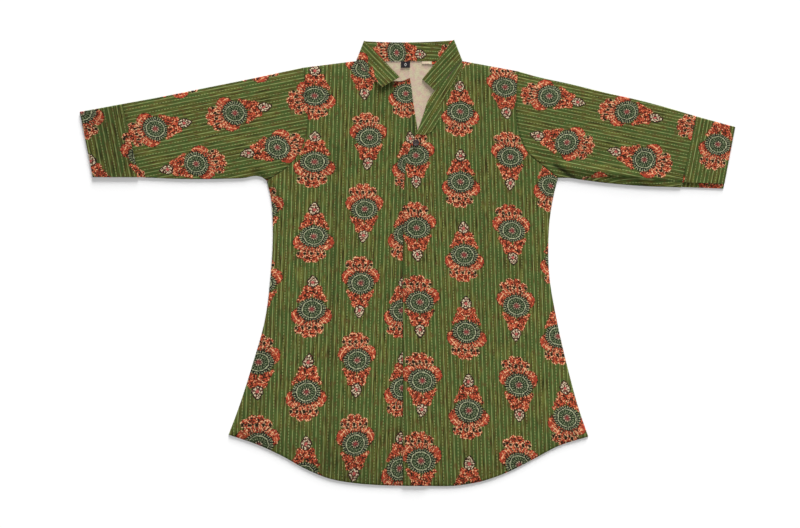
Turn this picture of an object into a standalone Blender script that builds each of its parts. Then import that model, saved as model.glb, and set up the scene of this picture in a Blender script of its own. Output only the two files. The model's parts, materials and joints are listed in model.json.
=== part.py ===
"""A printed cotton kurta tunic, laid flat on its back.

The tunic rests on the plane z = 0. +X is the right of someone who looks down at it, +Y runs from the
hem to the collar, and +Z is up. Sizes and places are in millimetres, and MM turns them into metres.

Each piece of cloth is a wall made by Solidify. A flat panel is a grid of points on its underside, and
its wall grows up. A sleeve, cuff or collar is pressed flat, so its grid is its outer surface, which runs
along one layer, round the fold and back along the other, and its wall grows inwards. One function,
lift(), says how far the upper layer of cloth stands off the lower one, so pieces meet at their seams.
"""

from collections import namedtuple

import bmesh
import bpy
import numpy as np
from mathutils import Matrix, Vector
from mathutils.bvhtree import BVHTree

MM = 0.001

# Cloth
WALL = 1.2  # body and sleeves
CUFF_WALL = 1.6  # two layers of cloth and their interlining
COLLAR_WALL = 2.0
FACING_WALL = 1.0
LABEL_WALL = 1.0
GAP = 0.3  # between two layers, and between two pieces at a seam
LAYER = WALL + GAP  # what one more layer of cloth adds to the height
SEAM_BACK = 0.25  # how far each piece stops short of a sloping armhole seam

# The upper layer's lift over the lower one
FULLNESS = 1.0  # everywhere but at the tunic's outer edge
EDGE_FADE = 18.0  # the edge's width, over which the lift rises from nothing

# How finely the grids are cut
ARMHOLE_STEPS = 14
SIDE_STEPS = 22
FRONT_STEPS = 20  # across one front
SLEEVE_STEPS = 18
CUFF_STEPS = 4
FOLD_STEPS = 4  # round a pressed fold
COLLAR_FOLD_STEPS = 6
LEAF_STEPS = 6
BAND_STEPS = 10
COLLAR_ROWS = 3
FACING_STEPS = 16
FACING_ROWS = 4

# The outline. Left and right differ a little, because the tunic was laid out by hand.
NECK_LEFT, NECK_RIGHT = (-85.0, 334.0), (91.0, 334.0)  # where shoulder and collar meet
BACK_NECK_DIP = 0.8  # the back's neckline runs this far below the neck points
BACK_NECK_TURN = 3.0  # and reaches that depth this far in from them
SHOULDER_LEFT, SHOULDER_RIGHT = (-173.0, 323.0), (183.0, 317.0)
UNDERARM_LEFT, UNDERARM_RIGHT = (-233.0, 136.0), (249.0, 141.0)
HEM_LEFT, HEM_RIGHT = (-296.0, -284.0), (299.0, -287.0)
HEM_MIDDLE = -368.6

ARMHOLE_LEFT = [
    SHOULDER_LEFT, (-168, 286), (-165, 245), (-168, 212), (-178, 184), (-198, 159), UNDERARM_LEFT,
]
ARMHOLE_RIGHT = [
    SHOULDER_RIGHT, (180, 278), (180, 240), (185, 212), (199, 182), (221, 163), UNDERARM_RIGHT,
]
SIDE_LEFT = [
    UNDERARM_LEFT, (-226, 108), (-223, 70), (-223, 30), (-226, -15), (-235, -90), (-257, -170),
    (-283, -250), HEM_LEFT,
]
SIDE_RIGHT = [
    UNDERARM_RIGHT, (243, 118), (235, 70), (233, 30), (234, -15), (246, -90), (264, -170),
    (286, -250), HEM_RIGHT,
]
HEM = [
    HEM_LEFT, (-247, -301), (-208, -319), (-168, -341), (-128, -357), (-89, -364), (-49, -367.3),
    (20, HEM_MIDDLE), (90, -367.3), (130, -359), (170, -344), (209, -324), (249, -303), HEM_RIGHT,
]

# The front opening
LAP_LEFT_EDGE = -7.4  # edge of the right front, which lies on top
LAP_RIGHT_EDGE = 20.0  # edge of the left front, under the lap
LAP_MARGIN = 6.0  # the right front stays up this far past the left front's edge
LAP_FADE = 14.0  # and over this width it then comes down
COLLAR_END_LEFT = (-42.0, 290.0)  # where the collar's seam ends on the left front
PLACKET_TOP = (4.0, 306.0)
PLACKET_NECK_LEFT = [COLLAR_END_LEFT, (-35, 289.5), (-16, 296), PLACKET_TOP]
PLACKET_LEFT = [
    PLACKET_TOP, (7, 286), (10, 262), (14, 225), (18, 200), (LAP_RIGHT_EDGE, 170), (LAP_RIGHT_EDGE, 60),
    (LAP_RIGHT_EDGE, -150), (LAP_RIGHT_EDGE, HEM_MIDDLE),
]
PLACKET_RIGHT = [
    NECK_RIGHT, (69, 308.5), (45.5, 284), (35.5, 270), (28, 248), (21.5, 226), (14, 212), (6, 195), (-1, 170),
    (-6, 111), (LAP_LEFT_EDGE, 20), (LAP_LEFT_EDGE, -180), (LAP_LEFT_EDGE, HEM_MIDDLE),
]

# The facing that is turned out along the right front's edge: its fold and its free edge
FACING_FOLD = [(90, 332.4), (69, 308.5), (45.5, 284), (35.5, 270), (28, 248), (21.5, 226), (14.5, 213)]
FACING_FREE = [(93, 327), (74, 293), (62, 275), (55.5, 253), (49, 229), (39, 217), (27, 211.5)]

# Sleeves and cuffs, from the armhole to the cuff seam and from there to the cuff's edge
Sleeve = namedtuple("Sleeve", "side armhole top bottom")
Cuff = namedtuple("Cuff", "side seam_top seam_bottom edge_top edge_bottom under_reach")

SLEEVES = [
    Sleeve(
        "left", ARMHOLE_LEFT,
        top=[SHOULDER_LEFT, (-267, 303), (-327, 291), (-406, 275), (-471.5, 263)],
        bottom=[
            UNDERARM_LEFT, (-241, 142), (-252, 144), (-268, 141), (-300, 139.5), (-372, 139), (-444, 142),
        ],
    ),
    Sleeve(
        "right", ARMHOLE_RIGHT,
        top=[
            SHOULDER_RIGHT, (209, 309.5), (269, 296), (328, 281.5), (388, 268), (448, 251.5), (477.5, 242.5),
        ],
        bottom=[UNDERARM_RIGHT, (269, 140.5), (289, 137.5), (328, 132.5), (388, 127.5), (452.5, 125)],
    ),
]
CUFFS = [
    Cuff("left", (-471.5, 263), (-444, 142), (-542, 250), (-520.5, 142), under_reach=0.0),
    Cuff("right", (477.5, 242.5), (454.5, 133.5), (542, 225), (524, 131), under_reach=8.0),
]

# The stand collar is one band, pressed flat. A leaf is the part in front of a fold.
Leaf = namedtuple("Leaf", "side seam_fold top_fold seam_end top_end rise")
LEAVES = [
    Leaf("left", NECK_LEFT, (-72, 367.5), COLLAR_END_LEFT, (-13, 307), rise=4.0),
    Leaf("right", NECK_RIGHT, (77, 369), (45.5, 284.7), (24.5, 303.7), rise=2.0),
]
BAND_SAG = 2.5  # the band's top edge dips between its folds
LEAF_RISE_FROM = 0.45  # share of a leaf's length where it starts to stand off

# A fold or drag line, from its start to its end: a soft ridge of a height and a half width
Ridge = namedtuple("Ridge", "name start end height half_width")
RIDGES = [
    Ridge("right underarm drag", (262, 158), (405, 139), 2.0, 9.0),
    Ridge("right armhole drag", (232, 186), (330, 205), 1.0, 13.0),
    Ridge("left underarm pucker", (-245, 153), (-204, 104), 1.6, 8.0),
    Ridge("left armhole drag", (-222, 184), (-330, 196), 0.9, 13.0),
    Ridge("left flare", (-150, 40), (-196, -262), 0.9, 24.0),
    Ridge("left hem wave", (-84, -120), (-96, -318), 0.7, 18.0),
    Ridge("right hem wave", (92, -90), (112, -312), 0.8, 20.0),
    Ridge("right flare", (172, 30), (222, -252), 0.9, 24.0),
]
LAPEL_ROLL = Ridge("lapel roll", (38, 262), (16, 216), 1.2, 10.0)  # in the right front only

LABEL_LEFT, LABEL_RIGHT, LABEL_TOP, LABEL_BOTTOM = -10.8, 4.2, 333.4, 323.0

BUTTON_AT = (13.8, 198.5)
BUTTON_RADIUS = 5.5
BUTTON_THICK = 2.0
BUTTON_EDGE = 0.5  # bevel
BUTTON_HOLE_RADIUS = 0.7
BUTTON_HOLE_SPREAD = 1.35  # from the button's middle to a hole, along X and along Y
BUTTON_SIDES = 28

GREEN = (0.105, 0.135, 0.045)
GREEN_SHADED = (0.085, 0.115, 0.040)
LABEL_BLACK = (0.012, 0.012, 0.013)
BUTTON_GREY = (0.070, 0.055, 0.055)


# Curves, as arrays with a row (x, y) for each point

def lengths_along(points):
    """Distance from the first point to each point of a polyline."""
    steps = np.linalg.norm(np.diff(points, axis=0), axis=1)
    return np.concatenate([[0.0], np.cumsum(steps)])


def resampled(points, steps):
    """The same polyline with equal steps."""
    far = lengths_along(points)
    at = np.linspace(0.0, far[-1], steps + 1)
    return np.stack([np.interp(at, far, points[:, axis]) for axis in (0, 1)], axis=1)


def smooth(points, steps):
    """Smooth curve through points, in equal steps: cubic Hermite pieces over the chord length."""
    points = np.array(points, float)
    far = lengths_along(points)
    slopes = np.gradient(points, far, axis=0)
    pieces = []
    for k in range(len(points) - 1):
        span = far[k + 1] - far[k]
        t = np.linspace(0.0, 1.0, 24, endpoint=False)[:, None]
        pieces.append(
            (1 + 2 * t) * (1 - t) ** 2 * points[k]
            + t * (1 - t) ** 2 * span * slopes[k]
            + t * t * (3 - 2 * t) * points[k + 1]
            + t * t * (t - 1) * span * slopes[k + 1]
        )
    return resampled(np.concatenate(pieces + [points[-1:]]), steps)


def straight(start, end, steps):
    return np.linspace(start, end, steps + 1)


def joined(*curves):
    """Curves end to end, each shared corner kept once."""
    return np.concatenate([curves[0]] + [curve[1:] for curve in curves[1:]])


def set_back(curve, distance):
    """The curve moved by distance to the right of its own direction."""
    along = np.gradient(curve, axis=0)
    along /= np.linalg.norm(along, axis=1)[:, None]
    return curve + distance * np.stack([along[:, 1], -along[:, 0]], axis=1)


def point_at(curve, shares):
    """Points at shares of a curve's number of steps, from 0 at its start to 1 at its end."""
    steps = np.linspace(0.0, 1.0, len(curve))
    return np.stack([np.interp(shares, steps, curve[:, axis]) for axis in (0, 1)], axis=-1)


def patch(top, bottom, left, right, shares=None):
    """Grid between four curves that share corners (a Coons patch); rows run from top to bottom.

    shares says how far across each row its columns stand; without it they are even.
    """
    if shares is None:
        shares = np.tile(np.linspace(0.0, 1.0, len(top)), (len(left), 1))
    u = shares[..., None]
    v = np.linspace(0.0, 1.0, len(left))[:, None, None]
    rows = (1 - v) * point_at(top, shares) + v * point_at(bottom, shares)
    columns = (1 - u) * left[:, None] + u * right[:, None]
    corners = (1 - v) * ((1 - u) * top[0] + u * top[-1]) + v * ((1 - u) * bottom[0] + u * bottom[-1])
    return rows + columns - corners


def smoothstep(t):
    t = np.clip(t, 0.0, 1.0)
    return t * t * (3 - 2 * t)


# Heights

def distance_to(x, y, curve):
    """Distance from each point to the nearest part of a polyline."""
    nearest = np.full(np.shape(x), np.inf)
    for (ax, ay), (bx, by) in zip(curve[:-1], curve[1:]):
        dx, dy = bx - ax, by - ay
        t = np.clip(((x - ax) * dx + (y - ay) * dy) / (dx * dx + dy * dy), 0.0, 1.0)
        nearest = np.minimum(nearest, np.hypot(x - ax - t * dx, y - ay - t * dy))
    return nearest


def outer_edges():
    """The tunic's outer edge: shoulders, sleeves, cuffs, sides and hem."""
    left, right = SLEEVES
    left_cuff, right_cuff = CUFFS
    return [
        straight(NECK_LEFT, SHOULDER_LEFT, 1),
        smooth(left.top, SLEEVE_STEPS),
        np.array([left_cuff.seam_top, left_cuff.edge_top, left_cuff.edge_bottom, left_cuff.seam_bottom]),
        smooth(left.bottom, SLEEVE_STEPS),
        smooth(SIDE_LEFT, SIDE_STEPS),
        smooth(HEM, 2 * FRONT_STEPS),
        smooth(SIDE_RIGHT, SIDE_STEPS),
        smooth(right.bottom, SLEEVE_STEPS),
        np.array([right_cuff.seam_top, right_cuff.edge_top, right_cuff.edge_bottom, right_cuff.seam_bottom]),
        smooth(right.top, SLEEVE_STEPS),
        straight(SHOULDER_RIGHT, NECK_RIGHT, 1),
    ]


EDGES = outer_edges()


def ridge_height(ridge, x, y):
    away = distance_to(x, y, np.array([ridge.start, ridge.end], float))
    return ridge.height * np.exp(-((away / ridge.half_width) ** 2))


def lift(x, y):
    """How far the upper layer stands off the lower one, beyond GAP."""
    inside = np.min([distance_to(x, y, edge) for edge in EDGES], axis=0)
    height = FULLNESS + sum(ridge_height(ridge, x, y) for ridge in RIDGES)
    return height * smoothstep(inside / EDGE_FADE)


def lap_rise(x, y):
    """1 where the right front lies on the left one, and 0 clear of it."""
    placket = smooth(PLACKET_LEFT, SIDE_STEPS)
    under_edge = np.interp(-y, -placket[:, 1], placket[:, 0])
    return 1 - smoothstep((x - under_edge - LAP_MARGIN) / LAP_FADE)


def left_front_underside(x, y):
    return LAYER + lift(x, y)


def right_front_underside(x, y):
    return LAYER + lift(x, y) + LAYER * lap_rise(x, y) + ridge_height(LAPEL_ROLL, x, y)


def sleeve_top(x, y):
    return LAYER + WALL + lift(x, y)


def top_of(made):
    """A function of x and y that gives the height of an object's upper surface."""
    tree = BVHTree.FromObject(made, bpy.context.evaluated_depsgraph_get())
    down = Vector((0.0, 0.0, -1.0))

    def height(x, y):
        hit = tree.ray_cast(Vector((x * MM, y * MM, 1.0)), down)[0]
        if hit is None:
            hit = tree.find_nearest(Vector((x * MM, y * MM, 50 * MM)))[0]
        return hit.z / MM

    return np.vectorize(height)


def raised(plan, height):
    """Plan points with their heights: height is a function of x and y, or a number."""
    z = height(plan[..., 0], plan[..., 1]) if callable(height) else np.full(plan.shape[:-1], height)
    return np.concatenate([plan, z[..., None]], axis=-1)


# Objects

def material(name, colour, roughness):
    made = bpy.data.materials.new(name)
    made.use_nodes = True
    shader = made.node_tree.nodes["Principled BSDF"]
    shader.inputs["Base Color"].default_value = (*colour, 1.0)
    shader.inputs["Roughness"].default_value = roughness
    return made


def add_object(name, mesh, colour, roughness=0.85):
    made = bpy.data.objects.new(name, mesh)
    made.data.materials.append(material(name, colour, roughness))
    bpy.context.scene.collection.objects.link(made)
    return made


def add_wall(made, thickness, grows):
    """Solidify: grows is 1 along the faces' normals and -1 against them."""
    wall = made.modifiers.new("wall", "SOLIDIFY")
    wall.thickness = thickness * MM
    wall.offset = grows
    wall.use_quality_normals = True


def add_cloth(name, grid, thickness, grows, colour=GREEN, closed=False):
    """Cloth over a grid of points; closed joins its last column to its first."""
    rows, columns = grid.shape[:2]
    across = columns if closed else columns - 1
    faces = [
        [row * columns + column for row, column in ((r, c), (r + 1, c), (r + 1, after), (r, after))]
        for r in range(rows - 1)
        for c, after in ((c, (c + 1) % columns) for c in range(across))
    ]
    mesh = bpy.data.meshes.new(name)
    mesh.from_pydata((grid.reshape(-1, 3) * MM).tolist(), [], faces)
    mesh.shade_smooth()
    made = add_object(name, mesh, colour)
    add_wall(made, thickness, grows)
    return made


# Panels

def make_back():
    """The back panel: one flat outline, which the tunic lies on."""
    neck_y = NECK_LEFT[1] - BACK_NECK_DIP
    neck = [NECK_RIGHT, (NECK_RIGHT[0] - BACK_NECK_TURN, neck_y), (NECK_LEFT[0] + BACK_NECK_TURN, neck_y)]
    outline = np.concatenate([
        neck,
        straight(NECK_LEFT, SHOULDER_LEFT, 1)[:-1],
        set_back(smooth(ARMHOLE_LEFT, ARMHOLE_STEPS), -SEAM_BACK),
        smooth(SIDE_LEFT, SIDE_STEPS)[1:-1],
        smooth(HEM, 2 * FRONT_STEPS)[:-1],
        smooth(SIDE_RIGHT, SIDE_STEPS)[:0:-1],
        set_back(smooth(ARMHOLE_RIGHT, ARMHOLE_STEPS), SEAM_BACK)[::-1],
    ])
    mesh = bpy.data.meshes.new("back")
    mesh.from_pydata((raised(outline, 0.0) * MM).tolist(), [], [range(len(outline))])
    add_wall(add_object("back", mesh, GREEN), WALL, 1)


def hem_between(start_x, end_x, steps):
    hem = smooth(HEM, 8 * FRONT_STEPS)
    x = np.linspace(start_x, end_x, steps + 1)
    return np.stack([x, np.interp(x, hem[:, 0], hem[:, 1])], axis=1)


def left_front_plan():
    """Plan of the left front: shoulder, neck and placket top; hem; armhole and side; placket."""
    neck_steps = FRONT_STEPS // 4
    top = joined(
        straight(SHOULDER_LEFT, NECK_LEFT, FRONT_STEPS - 3 * neck_steps),
        straight(NECK_LEFT, COLLAR_END_LEFT, neck_steps),
        smooth(PLACKET_NECK_LEFT, 2 * neck_steps),
    )
    left = joined(set_back(smooth(ARMHOLE_LEFT, ARMHOLE_STEPS), -SEAM_BACK), smooth(SIDE_LEFT, SIDE_STEPS))
    right = smooth(PLACKET_LEFT, ARMHOLE_STEPS + SIDE_STEPS)
    bottom = hem_between(HEM_LEFT[0], LAP_RIGHT_EDGE, FRONT_STEPS)
    top[0] = left[0]
    right[-1] = bottom[-1]
    return patch(top, bottom, left, right)


def right_front_shares(left, right):
    """Columns at fixed distances from the edge over the lap and its fade, and even ones beyond."""
    lap = LAP_RIGHT_EDGE - LAP_LEFT_EDGE + LAP_MARGIN
    near = np.array([0, lap / 2, lap, lap + LAP_FADE / 3, lap + LAP_FADE * 2 / 3, lap + LAP_FADE])
    width = np.linalg.norm(right - left, axis=1)[:, None]
    rest = np.linspace(near[-1] / width[:, 0], 1.0, FRONT_STEPS + 2 - len(near), axis=1)[:, 1:]
    return np.concatenate([near / width, rest], axis=1)


def right_front_plan():
    """Plan of the right front: shoulder; hem; neck and placket; armhole and side."""
    top = straight(NECK_RIGHT, SHOULDER_RIGHT, FRONT_STEPS)
    left = smooth(PLACKET_RIGHT, ARMHOLE_STEPS + SIDE_STEPS)
    right = joined(set_back(smooth(ARMHOLE_RIGHT, ARMHOLE_STEPS), SEAM_BACK), smooth(SIDE_RIGHT, SIDE_STEPS))
    bottom = hem_between(LAP_LEFT_EDGE, HEM_RIGHT[0], FRONT_STEPS)
    top[-1] = right[0]
    left[-1] = bottom[0]
    return patch(top, bottom, left, right, right_front_shares(left, right))


def make_fronts():
    """Both fronts; returns the right one, which carries the facing and the button."""
    add_cloth("front_left", raised(left_front_plan(), left_front_underside), WALL, 1)
    return add_cloth("front_right", raised(right_front_plan(), right_front_underside), WALL, 1)


def make_facing(front):
    """The turned-out facing, which lies on the right front along its edge."""
    fold = set_back(smooth(FACING_FOLD, FACING_STEPS), -2 * GAP)
    free = smooth(FACING_FREE, FACING_STEPS)
    across = np.linspace(0.0, 1.0, FACING_ROWS + 1)[None, :, None]
    plan = (1 - across) * fold[:, None] + across * free[:, None]
    grid = raised(plan, top_of(front))
    grid[..., 2] += GAP
    add_cloth("placket_facing", grid, FACING_WALL, 1, GREEN_SHADED)


# Pressed tubes and bands

def fold_arc(middle, outward, radius, steps):
    """Points round a pressed fold, from its lower layer up to its upper one, without the two ends."""
    angles = np.linspace(-np.pi / 2, np.pi / 2, steps + 1)[1:-1, None]
    plan = middle + radius * np.cos(angles) * outward
    return np.concatenate([plan, radius * (1 + np.sin(angles))], axis=1)


def moved_in(line, distance):
    """A polyline cut short by distance at its first point, and the way out past that end."""
    outward = (line[0] - line[1]) / np.linalg.norm(line[0] - line[1])
    return np.concatenate([[line[0] - distance * outward], line[1:]]), outward


def pressed_ring(line, top, wall):
    """Outer surface of a flat tube along one line across it, round from the line's first point."""
    radius = wall + GAP / 2
    line, first_out = moved_in(line, radius)
    line, last_out = moved_in(line[::-1], radius)
    line = line[::-1]
    upper = raised(line, top)
    lower = raised(line[::-1], 0.0)
    last_fold = fold_arc(line[-1], last_out, radius, FOLD_STEPS)[::-1]
    first_fold = fold_arc(line[0], first_out, radius, FOLD_STEPS)
    return np.concatenate([upper, last_fold, lower, first_fold])


def make_sleeve(sleeve):
    outward = -SEAM_BACK if sleeve.side == "right" else SEAM_BACK
    armhole = set_back(smooth(sleeve.armhole, ARMHOLE_STEPS), outward)
    top = smooth(sleeve.top, SLEEVE_STEPS)
    bottom = smooth(sleeve.bottom, SLEEVE_STEPS)
    top[0], bottom[0] = armhole[0], armhole[-1]
    seam = straight(top[-1], bottom[-1], ARMHOLE_STEPS)
    plan = patch(armhole, seam, top, bottom)
    grid = np.array([pressed_ring(line, sleeve_top, WALL) for line in plan])
    if sleeve.side == "right":
        grid = grid[:, ::-1]
    add_cloth("sleeve_" + sleeve.side, grid, WALL, -1, closed=True)


def make_cuff(cuff):
    """A cuff: a band folded at the top, whose two ends lie on each other along the bottom."""
    radius = CUFF_WALL + GAP / 2
    seam_top, seam_bottom, edge_top, edge_bottom = (np.array(p) for p in cuff[1:5])
    from_seam = GAP * (edge_top - seam_top) / np.linalg.norm(edge_top - seam_top)
    grid = []
    for share in np.linspace(0.0, 1.0, CUFF_STEPS + 1):
        start = seam_top + from_seam + share * (edge_top - seam_top - from_seam)
        end = seam_bottom + from_seam + share * (edge_bottom - seam_bottom - from_seam)
        line, outward = moved_in(straight(start, end, ARMHOLE_STEPS), radius)
        under = line.copy()
        under[-1] -= outward * cuff.under_reach
        upper = raised(line, 2 * radius)
        lower = raised(under, 0.0)
        grid.append(np.concatenate([lower[::-1], fold_arc(line[0], outward, radius, FOLD_STEPS), upper]))
    grid = np.array(grid)
    if cuff.side == "right":
        grid = grid[:, ::-1]
    add_cloth("cuff_" + cuff.side, grid, CUFF_WALL, -1)


def collar_row(share):
    """Outer surface of the collar along its length, at a share of its width from seam to top edge."""
    radius = COLLAR_WALL + GAP / 2
    halves = []
    for leaf in LEAVES:
        seam_fold, top_fold, seam_end, top_end = (np.array(p, float) for p in leaf[1:5])
        outward = np.array([seam_fold[1] - top_fold[1], top_fold[0] - seam_fold[0]])
        outward *= (-1 if leaf.side == "right" else 1) / np.linalg.norm(outward)
        fold = seam_fold + share * (top_fold - seam_fold) - radius * outward
        end = seam_end + share * (top_end - seam_end)
        rise = leaf.rise * smoothstep(
            (np.linspace(1.0, 0.0, LEAF_STEPS + 1) - LEAF_RISE_FROM) / (1 - LEAF_RISE_FROM)
        )
        upper = raised(straight(end, fold, LEAF_STEPS), 2 * radius)
        upper[:, 2] += rise
        halves.append((upper, fold_arc(fold, outward, radius, COLLAR_FOLD_STEPS)[::-1], fold))
    (left_leaf, left_fold, left_at), (right_leaf, right_fold, right_at) = halves
    band = raised(straight(left_at, right_at, BAND_STEPS), 0.0)
    across = np.linspace(0.0, 1.0, BAND_STEPS + 1)
    band[:, 1] -= share * BAND_SAG * 4 * across * (1 - across)
    return np.concatenate([left_leaf, left_fold, band, right_fold[::-1], right_leaf[::-1]])


def make_collar():
    width = np.hypot(*(np.array(LEAVES[0].top_fold) - np.array(LEAVES[0].seam_fold)))
    shares = np.linspace(1.5 * GAP / width, 1.0, COLLAR_ROWS + 1)
    grid = np.array([collar_row(share) for share in shares])
    add_cloth("collar_stand", grid, COLLAR_WALL, -1)


# Trims

def make_label():
    across, along = (LABEL_LEFT, LABEL_RIGHT), (LABEL_BOTTOM, LABEL_TOP)
    corners = np.array([(across[i], along[j]) for i, j in ((0, 0), (1, 0), (1, 1), (0, 1))])
    mesh = bpy.data.meshes.new("label")
    mesh.from_pydata((raised(corners, LAYER) * MM).tolist(), [], [range(4)])
    add_wall(add_object("label", mesh, LABEL_BLACK, 0.7), LABEL_WALL, 1)


def cylinder_mesh(name, radius, height, centres, sides):
    """One mesh of upright cylinders, each standing from its centre."""
    shape = bmesh.new()
    for centre in centres:
        place = Matrix.Translation([c * MM for c in centre]) @ Matrix.Translation((0, 0, height * MM / 2))
        bmesh.ops.create_cone(
            shape, cap_ends=True, segments=sides, radius1=radius * MM, radius2=radius * MM, depth=height * MM,
            matrix=place,
        )
    mesh = bpy.data.meshes.new(name)
    shape.to_mesh(mesh)
    shape.free()
    return mesh


def make_button(front):
    """A flat button with four holes, on the lap where the neck opening closes."""
    around = np.linspace(0.0, 2 * np.pi, 12, endpoint=False)
    x = BUTTON_AT[0] + BUTTON_RADIUS * np.cos(around)
    y = BUTTON_AT[1] + BUTTON_RADIUS * np.sin(around)
    under = float(np.max(top_of(front)(x, y))) + GAP
    button = add_object(
        "button",
        cylinder_mesh("button", BUTTON_RADIUS, BUTTON_THICK, [(*BUTTON_AT, under)], BUTTON_SIDES),
        BUTTON_GREY, 0.35,
    )
    bevel = button.modifiers.new("edge", "BEVEL")
    bevel.width = BUTTON_EDGE * MM
    bevel.segments = 2
    holes = [
        (BUTTON_AT[0] + dx * BUTTON_HOLE_SPREAD, BUTTON_AT[1] + dy * BUTTON_HOLE_SPREAD, under - 1.0)
        for dx in (-1, 1)
        for dy in (-1, 1)
    ]
    cutter_mesh = cylinder_mesh("button_holes", BUTTON_HOLE_RADIUS, BUTTON_THICK + 2.0, holes, 12)
    cutter = add_object("button_holes", cutter_mesh, BUTTON_GREY)
    cutter.hide_render = True
    cutter.display_type = "WIRE"
    cut = button.modifiers.new("holes", "BOOLEAN")
    cut.operation = "DIFFERENCE"
    cut.object = cutter


def main():
    for old in list(bpy.data.objects):
        bpy.data.objects.remove(old)
    make_back()
    front = make_fronts()
    make_facing(front)
    for sleeve in SLEEVES:
        make_sleeve(sleeve)
    for cuff in CUFFS:
        make_cuff(cuff)
    make_collar()
    make_label()
    make_button(front)


main()
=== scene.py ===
"""The looks of a printed cotton kurta tunic, laid flat on its back.

Every piece of cloth is a thin shell on the form of its CAD solid. Sizes and places are in millimetres, and
MM turns them into metres. +X is the right of someone who looks down at the tunic, +Y runs from the hem to
the collar, and the tunic rests on z = 0. Each piece of cotton has two UV maps in millimetres, so that one
material prints every piece in its own direction. In "cloth", u and v run across and along the printed
medallions. In "stripes", u runs across the stripes, which stay even where the medallions slip a little.
"""

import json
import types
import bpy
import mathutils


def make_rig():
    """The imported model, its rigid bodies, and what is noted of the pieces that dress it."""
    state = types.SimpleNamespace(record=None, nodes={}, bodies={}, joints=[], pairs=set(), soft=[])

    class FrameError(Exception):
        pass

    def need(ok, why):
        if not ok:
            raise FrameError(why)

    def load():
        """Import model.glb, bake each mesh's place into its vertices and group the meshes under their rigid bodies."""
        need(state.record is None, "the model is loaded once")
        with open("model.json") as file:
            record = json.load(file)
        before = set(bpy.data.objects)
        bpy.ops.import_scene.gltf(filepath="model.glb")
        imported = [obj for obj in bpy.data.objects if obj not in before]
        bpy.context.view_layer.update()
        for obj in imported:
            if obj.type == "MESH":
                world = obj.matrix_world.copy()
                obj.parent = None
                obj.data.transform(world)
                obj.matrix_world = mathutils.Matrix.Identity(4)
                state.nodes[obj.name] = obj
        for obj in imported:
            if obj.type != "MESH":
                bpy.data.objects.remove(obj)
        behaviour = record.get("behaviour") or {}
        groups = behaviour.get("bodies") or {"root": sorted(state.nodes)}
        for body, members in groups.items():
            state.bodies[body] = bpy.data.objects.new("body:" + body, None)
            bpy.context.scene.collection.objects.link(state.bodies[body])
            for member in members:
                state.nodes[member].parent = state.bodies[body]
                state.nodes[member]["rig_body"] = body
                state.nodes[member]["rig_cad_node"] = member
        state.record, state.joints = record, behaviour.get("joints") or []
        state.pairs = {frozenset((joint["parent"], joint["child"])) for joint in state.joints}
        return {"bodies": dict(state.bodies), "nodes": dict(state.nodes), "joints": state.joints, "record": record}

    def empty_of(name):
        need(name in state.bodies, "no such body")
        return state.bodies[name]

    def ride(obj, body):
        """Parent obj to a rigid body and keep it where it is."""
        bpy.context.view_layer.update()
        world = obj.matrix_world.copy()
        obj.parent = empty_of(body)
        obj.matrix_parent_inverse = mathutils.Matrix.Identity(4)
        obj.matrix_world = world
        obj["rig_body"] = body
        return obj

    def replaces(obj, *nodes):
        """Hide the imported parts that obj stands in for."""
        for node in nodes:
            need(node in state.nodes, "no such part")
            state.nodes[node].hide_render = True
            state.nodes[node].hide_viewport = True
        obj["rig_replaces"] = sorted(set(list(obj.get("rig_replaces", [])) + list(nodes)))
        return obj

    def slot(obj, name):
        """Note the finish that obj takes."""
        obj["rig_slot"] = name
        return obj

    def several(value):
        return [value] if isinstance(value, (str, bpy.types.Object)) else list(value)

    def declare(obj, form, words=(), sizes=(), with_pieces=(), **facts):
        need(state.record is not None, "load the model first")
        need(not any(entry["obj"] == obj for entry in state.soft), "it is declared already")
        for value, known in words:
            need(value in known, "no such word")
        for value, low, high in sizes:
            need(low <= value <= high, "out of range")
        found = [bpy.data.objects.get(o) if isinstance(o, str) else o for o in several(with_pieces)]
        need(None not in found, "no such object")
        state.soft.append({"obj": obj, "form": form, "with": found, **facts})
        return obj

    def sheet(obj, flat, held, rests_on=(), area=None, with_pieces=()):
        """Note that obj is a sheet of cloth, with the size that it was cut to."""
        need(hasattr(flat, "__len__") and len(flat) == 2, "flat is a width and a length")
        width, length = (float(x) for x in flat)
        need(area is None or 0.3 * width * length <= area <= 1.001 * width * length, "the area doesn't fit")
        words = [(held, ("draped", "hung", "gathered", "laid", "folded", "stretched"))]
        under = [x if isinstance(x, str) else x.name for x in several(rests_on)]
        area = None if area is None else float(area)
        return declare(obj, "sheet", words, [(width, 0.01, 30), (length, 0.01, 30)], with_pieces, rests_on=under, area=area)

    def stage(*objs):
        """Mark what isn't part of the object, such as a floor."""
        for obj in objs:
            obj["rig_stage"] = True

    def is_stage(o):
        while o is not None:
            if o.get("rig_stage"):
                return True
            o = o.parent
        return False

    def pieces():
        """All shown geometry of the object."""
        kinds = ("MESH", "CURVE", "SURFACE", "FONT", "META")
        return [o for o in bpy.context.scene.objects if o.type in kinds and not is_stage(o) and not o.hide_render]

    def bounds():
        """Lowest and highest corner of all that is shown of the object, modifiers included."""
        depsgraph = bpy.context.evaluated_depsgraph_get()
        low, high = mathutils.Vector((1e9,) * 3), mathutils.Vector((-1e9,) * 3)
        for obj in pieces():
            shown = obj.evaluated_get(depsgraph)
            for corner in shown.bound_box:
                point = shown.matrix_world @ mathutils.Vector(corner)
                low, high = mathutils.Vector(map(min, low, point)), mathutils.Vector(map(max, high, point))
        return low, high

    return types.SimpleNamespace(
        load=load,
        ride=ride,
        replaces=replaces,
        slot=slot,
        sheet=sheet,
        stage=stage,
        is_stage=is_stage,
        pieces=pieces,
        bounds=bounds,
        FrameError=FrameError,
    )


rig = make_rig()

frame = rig.load()

import json
from collections import namedtuple

import bpy
import numpy as np

cad_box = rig.bounds()

MM = 0.001

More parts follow.
